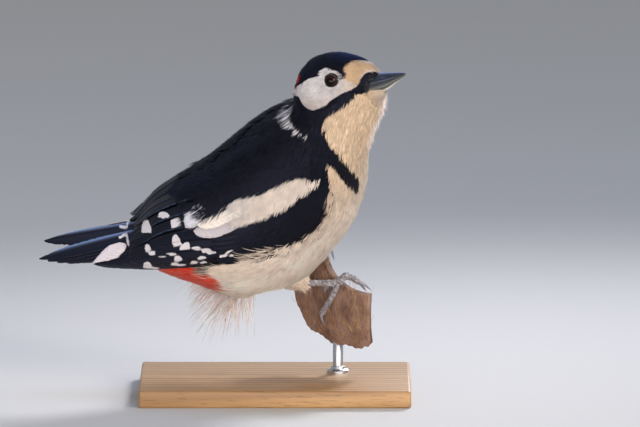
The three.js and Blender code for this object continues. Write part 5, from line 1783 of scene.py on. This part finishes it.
def scapulars(side, label, stuff, rng):
    """White feathers within the patch and black ones round it, up to the mantle."""
    a, b = staggered(patch_surface, (4.4, 9.6), (6, 96), 2.1, side, rng)
    at = side_view(patch_surface(a, b, np.full(len(a), side), 0.5))
    ahead = at + np.array((-4.6, -6.6))
    gap = depth_within(PATCH, ahead)
    inside = (gap > 0) & (ahead[:, 0] > -13) & (depth_within(PATCH, at) > -3.0)
    around = (gap < 0) & (b < along(PATCH_TOP, a) + 6) & (gap > -26)
    around &= (at[:, 0] > -34) | (at[:, 1] > 4)
    around &= (gap > -7) | (rng.random(len(a)) < 0.32)
    end = 1 - 0.45 * smoothstep(20, 34, at[:, 0])
    growths = []
    for keep, length, width, barbs, lifts in (
            (inside, 9.0, 4.2, 15, (0.3, 1.3, 1.9)),
            (around, 10.5, 4.8, 11, (-0.2, 0.9, 1.5))):
        growths.append(grow(patch_surface, a[keep], b[keep], side, rng,
                            length * end[keep], width, barbs, fan=15, depth=1.4,
                            lifts=lifts, camber=0.25, lie=droop(20),
                            colour=patch_colour, ruffle=0.16, overlap=1.3,
                            painted_streaks=0.05, fuzz=0.5))
    # Fine black hairs over the patch's upper edge, and the bridge from mantle to wing
    near = (depth_within(PATCH, at) > -5.5) & (depth_within(PATCH, at) < -0.5)
    near &= (b < along(PATCH_TOP, a) + 2) & (at[:, 0] < -12) & (at[:, 0] > -29)
    growths.append(grow(patch_surface, a[near], b[near], side, rng, 10.5, 2.6, 6, fan=10,
                        depth=1.0, lifts=(1.1, 2.1, 2.3), loose=6.0, colour=all_black,
                        lie=droop(24), ruffle=0.3, overlap=0.8))
    s = rng.uniform(4.3, 9.5, 340)
    phi = along(WING_TOP, s) + rng.uniform(-15, 9, 340)
    bridge = grow(body_surface, s, np.maximum(phi, 1.0), side, rng, 13.0, 7.0, 11,
                  fan=18, depth=4.5, lifts=(-0.4, 1.0, 1.4), loose=3.0,
                  colour=all_black, ruffle=0.2, overlap=1.4)
    piece = coat_piece(f"mantle_edge_{label}", [bridge], stuff["black"])
    finish_piece(piece, "black_feather")
    lay_coat(f"scapulars_{{}}_{label}", growths, stuff)


class WOODPECKER_OT_wings(bpy.types.Operator):
    """Folded wings: arm, flight feathers with their spots, and rows of coverts"""
    bl_idname = "woodpecker.wings"
    bl_label = "Wings"

    def execute(self, context):
        stuff = feather_set()
        for side, label in SIDES:
            rng = draws(140 + int(side > 0))
            wing_arm(side, label)
            for part in (flight_feathers, greater_coverts, lesser_coverts, patch_lobes, scapulars):
                part(side, label, stuff, rng)
        return {"FINISHED"}


# Outermost feather: its root on the right side, its run to the tip, and its outline
OUTER_ROOT = np.array((-71.5, -11.2, -20.2))
OUTER_RUN = np.array((-19.0, -3.8, -10.0))
OUTER_OUTLINE = ((0, 0.2), (0.12, 0.7), (0.4, 1), (0.62, 0.8), (1, 0.05))


def outer_tail(stuff, rng):
    """Pale outermost feather of each side, under the tail and over the wing's tip. Its lavender
    grey is partly painted sheen.
    """
    vanes = []
    for side, _ in SIDES:
        u = np.linspace(0, 1, 60)[:, None]
        p = OUTER_ROOT + OUTER_RUN * u
        n = np.broadcast_to((0.0, -math.cos(VIEW_TILT), math.sin(VIEW_TILT)), p.shape)
        t = unit(np.gradient(p, axis=0))
        path = [v * np.array((1.0, -side, 1.0)) for v in (p, unit(n - dot(n, t) * t), t)]
        vanes.append(vane(path, 4.2, 4.2, rng, thick=0.4, shaft=0.15, camber=0.4,
                          outline=OUTER_OUTLINE))
    outer = vane_piece("tail_outer", vanes, stuff["white_vane"], palette()["outer_tail"], unmarked)
    finish_piece(outer, "white_feather")


class WOODPECKER_OT_tail(bpy.types.Operator):
    """Stiff, pointed tail feathers and the pale outermost pair"""
    bl_idname = "woodpecker.tail"
    bl_label = "Tail"

    OUTLINE = ((0, 0.5), (0.2, 0.85), (0.5, 1), (0.75, 0.86), (0.9, 0.5), (0.97, 0.24), (1, 0.08))

    def execute(self, context):
        stuff = feather_set()
        tones = palette()
        rng = draws(160)
        turn = turn_matrix("Y", TAIL["slope"])
        place = np.array((TAIL["start"], 0.0, TAIL["rise"]))
        droop_turn = math.radians(TAIL["droop"])
        vanes, marks, shades = [], [], []
        for k in reversed(range(TAIL["pairs"])):
            for side, _ in SIDES:
                # Each pair is shorter than the one over it and fans out a little further
                share = TAIL_SHARES[k] * (1.0 if side < 0 else 0.96)
                d = TAIL["length"] * share * np.linspace(0, 1, 90)
                out = 3.0 + 0.9 * k + d * (0.075 + 0.02 * k)
                down = out * math.tan(droop_turn) + 2.2 * (d / TAIL["length"]) ** 2
                p = np.stack([-d, side * out, -0.95 * k - down], -1) @ turn.T + place
                t = unit(np.gradient(p, axis=0))
                n = np.array((0.0, side * math.sin(droop_turn), math.cos(droop_turn)))
                n = unit(n - dot(n, t) * t)
                half = TAIL["width"] / 2 * TAIL_WIDTHS[k]
                webs = (half, half * (0.72 if k == 0 else 1.0)) if side < 0 else (half, half)
                tilt = 0.0
                if k == 0 and side > 0:
                    webs, tilt = (half * 1.65, half * 0.8), -16.0
                vanes.append(vane((p, n, t), *webs, rng, tilt, thick=0.5, shaft=0.35,
                                  camber=0.5, outline=self.OUTLINE, splits=7))
                # Painted highlight: a blue sky reflection along the upper edge of the middle pair
                edge = webs[1] - 1.4
                shine = np.exp(-((vanes[-1][2][:, 0] * 10 - edge) / 1.2) ** 2) * (k == 0) * 0.52
                shades.append(blend(tones["black"], rgb(PAINTED_GLOSS), shine))

                # White bars on the far side's outermost feather, and at the tail's base
                own = (vanes[-1][0] - place) @ turn
                wave = np.sin((own[:, 0] + 3 * k) / 9.0 * 2 * math.pi) * 1.6
                reach = own[:, 0] < -0.3 * d[-1]
                barred = reach & (k == TAIL["pairs"] - 1) & (side > 0)
                bars = np.max([depth_within(bar, side_view(vanes[-1][0])) for bar in TAIL_BARS], 0)
                marks.append(np.maximum(np.where(barred, wave + 0.9, UNMARKED), bars))
        piece = vane_piece("tail_feathers", vanes, stuff["vane"], np.vstack(shades),
                           lambda p: np.concatenate(marks))
        finish_piece(piece, "black_feather", "tail")
        outer_tail(stuff, rng)
        return {"FINISHED"}


# ------------------------------------------------------------------ legs, feet, perch

HOLE_AXIS = unit(SHELL_AXIS)
HOLE_SIDE = unit(np.cross((0.0, 0.0, 1.0), HOLE_AXIS))
HOLE_UP = unit(np.cross(HOLE_AXIS, HOLE_SIDE))


def shell_point(turn, angle, radius=SHELL["radius"]):
    """Point of the shell at an angle from the hole's axis and a turn round it, row frame."""
    a, b = np.radians(turn), np.radians(angle)
    out = HOLE_SIDE * np.cos(a)[..., None] + HOLE_UP * np.sin(a)[..., None]
    return (np.array(SHELL["centre"]) + HOLE_AXIS * (radius * np.cos(b))[..., None]
            + out * (radius * np.sin(b))[..., None])


def rim_place(turn, reach, height):
    """Near the rim: turn round the hole, reach into it, height over the shell."""
    if reach < 0:
        angle = SHELL["hole"] - math.degrees(reach / SHELL["radius"])
        return shell_point(turn, angle, SHELL["radius"] + height)
    edge = shell_point(turn, SHELL["hole"])
    outwards = unit(edge - SHELL["centre"])
    inwards = unit(edge - shell_point(turn, SHELL["hole"] + 1))
    return edge + outwards * height + inwards * reach


def foot_place(label, place):
    turn, reach, height = place
    return rim_place(GRIP[label] + turn * (1.0 if label == "right" else 0.9), reach, height)


def limb(points, radii, sides, step, scute=0.0, pad=0.0, squash=1.0, knobs=0.0):
    """Round limb through points: rings with raised scutes above and pads at the joints."""
    points = np.asarray(points, float)
    fine = np.linspace(0, len(points) - 1, 400)
    line = read_rows(points, fine)
    run = np.concatenate([[0], np.linalg.norm(np.diff(line, axis=0), axis=1).cumsum()])
    count = max(8, int(run[-1] / step))
    at = np.interp(np.linspace(0, run[-1], count), run, fine)
    p = read_rows(points, at)
    dist = np.linspace(0, run[-1], count)
    t = unit(np.gradient(p, axis=0))
    r = np.interp(at, np.linspace(0, len(points) - 1, len(radii)), radii)
    up = np.array((0.1, 0.2, 1.0))
    turn = np.linspace(0, 2 * math.pi, sides, endpoint=False)
    top = np.clip(np.sin(turn), 0, 1) ** 0.5
    below = np.clip(-np.sin(turn), 0, 1)
    joints = np.abs(at - np.round(at))
    rings = []
    for k in range(count):
        up = unit(up - (up @ t[k]) * t[k])
        across = np.cross(t[k], up)
        # A scute every 1.35 mm, raised at its far edge
        saw = (dist[k] / 1.35) % 1.0
        plate = scute * (0.35 + 0.65 * (1 - saw) ** 0.6) * (1 if saw > 0.09 else -0.2)
        bulge = pad * math.exp(-(joints[k] / 0.16) ** 2)
        radius = r[k] * (1 + plate * top + bulge * below)
        ring = (p[k] + across * (radius * np.cos(turn) * squash)[:, None]
                + up * (radius * np.sin(turn))[:, None])
        if knobs:
            # Small round plates about a millimetre across
            rise = [knobs * (0.42 - noise.voronoi(Vector(q) * 0.95)[0][0]) for q in ring]
            ring = ring + unit(ring - p[k]) * np.array(rise)[:, None]
        rings.append(ring)
    return tube(rings)


class WOODPECKER_OT_feet(bpy.types.Operator):
    """Scaled legs and toes, and the curved claws"""
    bl_idname = "woodpecker.feet"
    bl_label = "Legs, toes and claws"

    def execute(self, context):
        look = bpy.context.scene.woodpecker_bare
        skin = leg_material(tuple(look.leg), linear("#3E3A3B"))
        horn = horn_material("claw_horn", linear("#101116"), linear("#8A8C90"), 0.28)
        claw_tint = np.array(look.claw[:3])
        for _, label in SIDES:
            middle = foot_place(label, (0, 0, 3.2))
            heel = np.array(HEEL[label]) @ BIRD_TURN.T + np.array(BIRD_PLACE)
            shank = [heel + (middle - heel) * share for share in (-0.18, 0.12, 0.6)] + [middle]
            parts = [limb(shank, (2.0, 1.9, 1.7, 2.25), 32, 0.2, scute=0.1, knobs=0.75)]
            claws = []
            for toe, places in TOES.items():
                points = [foot_place(label, place) for place in places]
                line = [middle] + points[:3] + [points[2] + (points[3] - points[2]) * 0.35]
                parts.append(limb(line, (2.1, 1.85, 1.6, 1.75, 1.2), 28, 0.2, scute=0.1, pad=0.22,
                                  knobs=0.75))
                a, b, c = points[2:]
                start = a + (b - a) * 0.12
                hook = [start, start + (b - start) * 0.6, b + (c - b) * 0.35, c]
                claws.append((toe, limb(hook, (1.25, 1.0, 0.66, 0.06), 16, 0.2, squash=0.72)))
            points, faces = joined(parts)
            piece = mesh_piece(f"foot_{label}", points * MM, faces, skin)
            finish_piece(piece, "leg_skin", f"leg_{label}")
            for toe, (points, faces) in claws:
                count = len(points)
                share = np.linspace(0, 1, count)[:, None]
                tint = claw_tint * (1.15 - 0.5 * share) + 0.05 * (1 - share) * np.ones(3)
                uv = np.stack([np.linspace(0, 1, count), np.arange(count) % 16 / 8], -1)
                piece = mesh_piece(f"talon_{toe}_{label}", points * MM, faces, horn, colours=tint,
                                   uvs={"Along": uv})
                finish_piece(piece, "horn", f"claw_{toe}_{label}")
        return {"FINISHED"}


def strand_tree():
    """Geometry Nodes: husk strands scattered over the shell's outside."""
    tree = bpy.data.node_groups.new("husk_strands", "GeometryNodeTree")
    face = tree.interface
    face.new_socket("Geometry", in_out="INPUT", socket_type="NodeSocketGeometry")
    for name, kind in (("Strand", "NodeSocketObject"), ("Density", "NodeSocketFloat"),
                       ("Seed", "NodeSocketInt"), ("Smallest", "NodeSocketFloat"),
                       ("Largest", "NodeSocketFloat"), ("Material", "NodeSocketMaterial")):
        face.new_socket(name, in_out="INPUT", socket_type=kind)
    face.new_socket("Geometry", in_out="OUTPUT", socket_type="NodeSocketGeometry")
    add = partial(node, tree)
    given = add("NodeGroupInput").node.outputs
    outer = add("GeometryNodeInputNamedAttribute", {"Name": "Outside"}, data_type="FLOAT")
    amount = add("Math", (outer, given["Density"]), operation="MULTIPLY")
    spread = add("GeometryNodeDistributePointsOnFaces",
                 {"Mesh": given["Geometry"], "Density": amount, "Seed": given["Seed"]})
    strand = add("GeometryNodeObjectInfo", {"Object": given["Strand"]}, out="Geometry")
    spin = add("FunctionNodeRandomValue", {"Seed": given["Seed"], 0: (-0.10, -0.10, -0.55),
                                           1: (0.10, 0.10, 0.55)}, data_type="FLOAT_VECTOR")
    size = add("FunctionNodeRandomValue", {"Seed": given["Seed"], 2: given["Smallest"],
                                           3: given["Largest"]}, out=1, data_type="FLOAT")
    lay = add("FunctionNodeAlignRotationToVector",
              {"Rotation": spread.node.outputs["Rotation"], "Vector": (0.0, 0.15, 1.0)},
              axis="X", pivot_axis="Z")
    placed = add("GeometryNodeInstanceOnPoints", {"Points": spread, "Instance": strand,
                                                  "Rotation": lay, "Scale": size})
    turned = add("GeometryNodeRotateInstances", {"Instances": placed, "Rotation": spin})
    real = add("GeometryNodeRealizeInstances", (turned,))
    painted = add("GeometryNodeSetMaterial", {"Geometry": real, "Material": given["Material"]})
    add("NodeGroupOutput", (painted,))
    return tree


def shell_piece(husk):
    """The shell's wall as one tube of sections round the hole."""
    start, end = GRIP["right"] + 28, GRIP["left"] - 20
    steps, across, lip = 130, 60, 7
    rings, inside, outside = [], [], []
    for i in range(steps + 1):
        u = i / steps
        k = u * 18
        turn = start + (end - start) * u
        # The broken edge waves by a degree or so
        wave = 0.9 * math.sin(k * 1.9) + 0.6 * math.sin(k * 0.83 + 1) + 0.25 * math.sin(k * 9)
        bow = math.sin(math.pi * min(max(u, 0.03), 0.97)) ** 0.5
        far = SHELL["hole"] + SHELL["reach"] * (0.62 + 0.38 * bow) + wave
        angle = SHELL["hole"] + (far - SHELL["hole"]) * np.linspace(0, 1, across)
        outer = shell_point(turn, angle)
        inner = shell_point(turn, angle, SHELL["radius"] - SHELL["thick"])
        f = np.linspace(0, math.pi, lip + 2)[1:-1]
        lips = []
        for edge, sign, blunt in ((far, 1.0, 0.3), (SHELL["hole"], -1.0, 1.0)):
            bend = math.degrees(0.9 / SHELL["radius"]) * np.sin(f) * sign * blunt
            radius = (SHELL["radius"] - SHELL["thick"] / 2
                      + SHELL["thick"] / 2 * np.cos(f if sign > 0 else f[::-1]))
            lips.append(shell_point(turn, edge + bend - sign * 0.3, radius))
        rings.append(np.vstack([outer, lips[0], inner[::-1], lips[1]]))
        inside += [np.zeros(across), np.linspace(0.2, 0.8, lip), np.ones(across),
                   np.linspace(0.8, 0.2, lip)]
        outside += [np.ones(across), np.zeros(across + 2 * lip)]
    rings = np.array(rings)
    flat = rings.reshape(-1, 3)
    rough = np.array([noise.fractal(Vector(p) * 0.22, 0.9, 2.1, 4) for p in flat])
    lumps = np.array([noise.noise(Vector(p) * 0.06) for p in flat])
    flat = flat + unit(flat - SHELL["centre"]) * (rough * 0.22 + lumps * 0.45)[:, None]
    points, faces = tube(flat.reshape(rings.shape))
    piece = mesh_piece("coconut_shell", points * MM, faces, husk,
                       marks={"Inside": np.concatenate(inside + [(0.5, 0.5)]),
                              "Outside": np.concatenate(outside + [(0.0, 0.0)])})
    finish_piece(piece, "shell", "perch_shell")
    return piece


def husk_strands(shell, count):
    """Loose strands, one thin curved form scattered by Geometry Nodes."""
    # Each fibre fades and darkens over a few millimetres
    fibre = mottled_material("coir_fibre", 4.0, linear("#7A4F30"), linear("#C39A6C"),
                             0.35, 0.65, Roughness=0.7, Specular_IOR_Level=0.3)
    line = [(0, 0, -0.25), (3, 0.5, 0.12), (7, -0.3, 0.28), (11, 0.6, 0.05)]
    points, faces = limb(line, (0.12, 0.13, 0.11, 0.04), 5, 1.2)
    strand = mesh_piece("strand", points * MM, faces, fibre)
    host = shell.copy()
    host.data = shell.data.copy()
    bpy.context.scene.collection.objects.link(host)
    host.name = "strand_host"
    host.parent = None
    for key in list(host.keys()):
        del host[key]
    scatter = host.modifiers.new("strands", "NODES")
    scatter.node_group = strand_tree()
    # Spread over about 3300 square millimetres of the shell's outside
    values = {"Strand": strand, "Density": count / (3300.0 * MM * MM), "Seed": 5,
              "Smallest": 0.45, "Largest": 1.0, "Material": fibre}
    for item in scatter.node_group.interface.items_tree:
        if item.in_out == "INPUT" and item.name in values:
            scatter[item.identifier] = values[item.name]
    strands = evaluated(host, "husk_strands")
    bpy.data.objects.remove(strand)
    finish_piece(strands, "shell")


class WOODPECKER_OT_perch(bpy.types.Operator):
    """Cut piece of coconut shell with the hole's rim, and its loose husk"""
    bl_idname = "woodpecker.perch"
    bl_label = "Perch"

    def execute(self, context):
        look = bpy.context.scene.woodpecker_stand
        husk = shell_material(tuple(look.husk), tuple(look.husk_tan), tuple(look.hollow))
        husk_strands(shell_piece(husk), look.strand_count)
        return {"FINISHED"}


# ------------------------------------------------------------------ stand and stage

def lathe(profile, x, y):
    """Turned form round an upright axis from (radius, height) pairs."""
    turn = np.linspace(0, 2 * math.pi, 48, endpoint=False)
    return tube([np.stack([x + r * np.cos(turn), y + r * np.sin(turn), np.full(48, z)], -1)
                 for r, z in profile])


class WOODPECKER_OT_stand(bpy.types.Operator):
    """Oak base with eased edges, and the steel rod in its collar"""
    bl_idname = "woodpecker.stand"
    bl_label = "Stand"

    def execute(self, context):
        look = bpy.context.scene.woodpecker_stand
        oak = wood_material(tuple(look.oak), tuple(look.oak_dark))
        steel = steel_material()
        x, y, z = BASE["length"] / 2, BASE["depth"] / 2, BASE["height"]
        corners = np.array([(i * x, j * y, k) for k in (0, z) for j in (-1, 1)
                            for i in (-1, 1)], float)
        faces = np.array([(0, 2, 1), (1, 2, 3), (4, 5, 6), (5, 7, 6), (0, 1, 4), (1, 5, 4),
                          (2, 6, 3), (3, 6, 7), (0, 4, 2), (2, 4, 6), (1, 3, 5), (3, 7, 5)])
        board = mesh_piece("board_form", corners * MM, faces, oak, smooth=False)
        ease = board.modifiers.new("eased_edges", "BEVEL")
        ease.width = BASE["bevel"] * MM
        ease.segments = 4
        ease.limit_method = "ANGLE"
        board = evaluated(board, "base_board")
        board.data.polygons.foreach_set("use_smooth", np.ones(len(board.data.polygons), bool))
        board.data.set_sharp_from_angle(angle=math.radians(40))
        finish_piece(board, "stand_wood", "stand_base")

        angle = SHELL["hole"] + SHELL["reach"] - 1.5
        foot = shell_point(ROD["turn"], angle, SHELL["radius"] - SHELL["thick"] / 2)
        top, r = foot[2] + ROD["overlap"], ROD["radius"]
        collar = ((r + 0.05, z - 0.4), (r + 3.2, z - 0.4), (r + 3.2, z + 1.2), (r + 2.6, z + 1.8),
                  (r + 1.3, z + 2.2), (r + 0.9, z + 3.6), (r + 0.05, z + 3.9))
        for name, profile, corner, replaced in (
                ("rod", ((r, z + 0.3), (r, top - 0.6), (r - 0.5, top)), 40, ("stand_rod",)),
                ("rod_collar", collar, 35, ())):
            points, faces = lathe(profile, foot[0], foot[1])
            piece = mesh_piece(name, points * MM, faces, steel)
            piece.data.set_sharp_from_angle(angle=math.radians(corner))
            finish_piece(piece, "stand_steel", *replaced)
        return {"FINISHED"}


class WOODPECKER_OT_stage(bpy.types.Operator):
    """Plain pale floor, soft studio light and the camera"""
    bl_idname = "woodpecker.stage"
    bl_label = "Stage"

    def execute(self, context):
        look = bpy.context.scene.woodpecker_stage
        cloudy = tuple(c * 0.97 for c in look.floor[:3]) + (1.0,)
        # Faint clouds, 400 mm across
        matt = mottled_material("matt_floor_paint", 400.0, cloudy, tuple(look.floor), 0.0, 1.0,
                                Roughness=0.9, Specular_IOR_Level=0.2)
        corners = np.array([(-1, -1, 0), (1, -1, 0), (1, 1, 0), (-1, 1, 0)]) * FLOOR_HALF
        floor = mesh_piece("floor", corners, [(0, 1, 2), (0, 2, 3)], matt, smooth=False)

        world = bpy.data.worlds.new("studio")
        world.use_nodes = True
        world.node_tree.nodes["Background"].inputs["Color"].default_value = linear("#E4E8EE")
        world.node_tree.nodes["Background"].inputs["Strength"].default_value = 0.58
        bpy.context.scene.world = world
        bpy.context.scene.view_settings.view_transform = "Standard"

        # name, place, point that it shines at, size in metres, watts, tint
        for name, spot, aim, size, power, tint in (
                ("key", (1.3, -1.3, 0.75), (0.0, 0.0, 0.11), 0.9, 2.3, "#FFF1DF"),
                ("front", (0.1, -1.9, 0.2), (0.0, 0.0, 0.09), 2.2, 24.5, "#FFF6EC"),
                ("sky", (0.1, 0.3, 1.7), (0.0, 0.0, 0.12), 0.9, 8.0, "#A9C4FF"),
                ("rim", (0.6, 1.1, 0.9), (0.02, 0.0, 0.14), 0.4, 2.2, "#F6F8FF")):
            lamp = bpy.data.lights.new(name, "AREA")
            lamp.shape = "RECTANGLE" if name == "front" else "DISK"
            lamp.size = size
            lamp.size_y = 0.34
            lamp.spread = math.radians(50 if name in ("rim", "key") else 180)
            lamp.specular_factor = 0.3 if name == "front" else 1.0
            lamp.energy = power
            lamp.color = linear(tint)[:3]
            held = bpy.data.objects.new(name, lamp)
            held.location = spot
            held.rotation_euler = (Vector(aim) - Vector(spot)).to_track_quat("-Z", "Y").to_euler()
            bpy.context.scene.collection.objects.link(held)

        lens = bpy.data.cameras.new("camera")
        lens.sensor_width = 36.0
        lens.lens = 36.0 * look.distance / look.view_width
        lens.clip_end = 50.0
        camera = bpy.data.objects.new("camera", lens)
        aim = Vector(CAMERA_AIM) * MM
        raised = math.radians(CAMERA_RISE)
        camera.location = aim + Vector((0, -math.cos(raised), math.sin(raised))) * look.distance
        camera.rotation_euler = (math.radians(90) - raised, 0, 0)
        bpy.context.scene.collection.objects.link(camera)
        bpy.context.scene.camera = camera
        return {"FINISHED"}


class WOODPECKER_PT_panel(bpy.types.Panel):
    """Sizes and colours of the woodpecker, and the pieces in making order"""
    bl_idname = "WOODPECKER_PT_panel"
    bl_label = "Great spotted woodpecker"
    bl_space_type = "VIEW_3D"
    bl_region_type = "UI"
    bl_category = "Woodpecker"

    def draw(self, context):
        for group in SETTINGS:
            box = self.layout.box()
            box.label(text=group.__doc__)
            held = getattr(context.scene, SETTINGS[group])
            for name in group.__annotations__:
                box.prop(held, name)
        for piece in PIECES:
            self.layout.operator(piece.bl_idname)


SETTINGS = {PlumageSettings: "woodpecker_plumage", BillEyeSettings: "woodpecker_bare",
            StandSettings: "woodpecker_stand", StageSettings: "woodpecker_stage"}
PIECES = (WOODPECKER_OT_stage, WOODPECKER_OT_skin, WOODPECKER_OT_body_coat,
          WOODPECKER_OT_flank_fringe, WOODPECKER_OT_vent_down, WOODPECKER_OT_head_coat,
          WOODPECKER_OT_bristles, WOODPECKER_OT_eyes, WOODPECKER_OT_bill, WOODPECKER_OT_wings,
          WOODPECKER_OT_tail, WOODPECKER_OT_feet, WOODPECKER_OT_perch, WOODPECKER_OT_stand)


def register():
    for group, name in SETTINGS.items():
        bpy.utils.register_class(group)
        setattr(bpy.types.Scene, name, bpy.props.PointerProperty(type=group))
    for piece in PIECES + (WOODPECKER_PT_panel,):
        bpy.utils.register_class(piece)


def unregister():
    for piece in reversed(PIECES + (WOODPECKER_PT_panel,)):
        bpy.utils.unregister_class(piece)
    for group, name in reversed(list(SETTINGS.items())):
        delattr(bpy.types.Scene, name)
        bpy.utils.unregister_class(group)


def main():
    register()
    for piece in PIECES:
        group, name = piece.bl_idname.split(".")
        getattr(getattr(bpy.ops, group), name)()


if __name__ == "__main__":
    main()
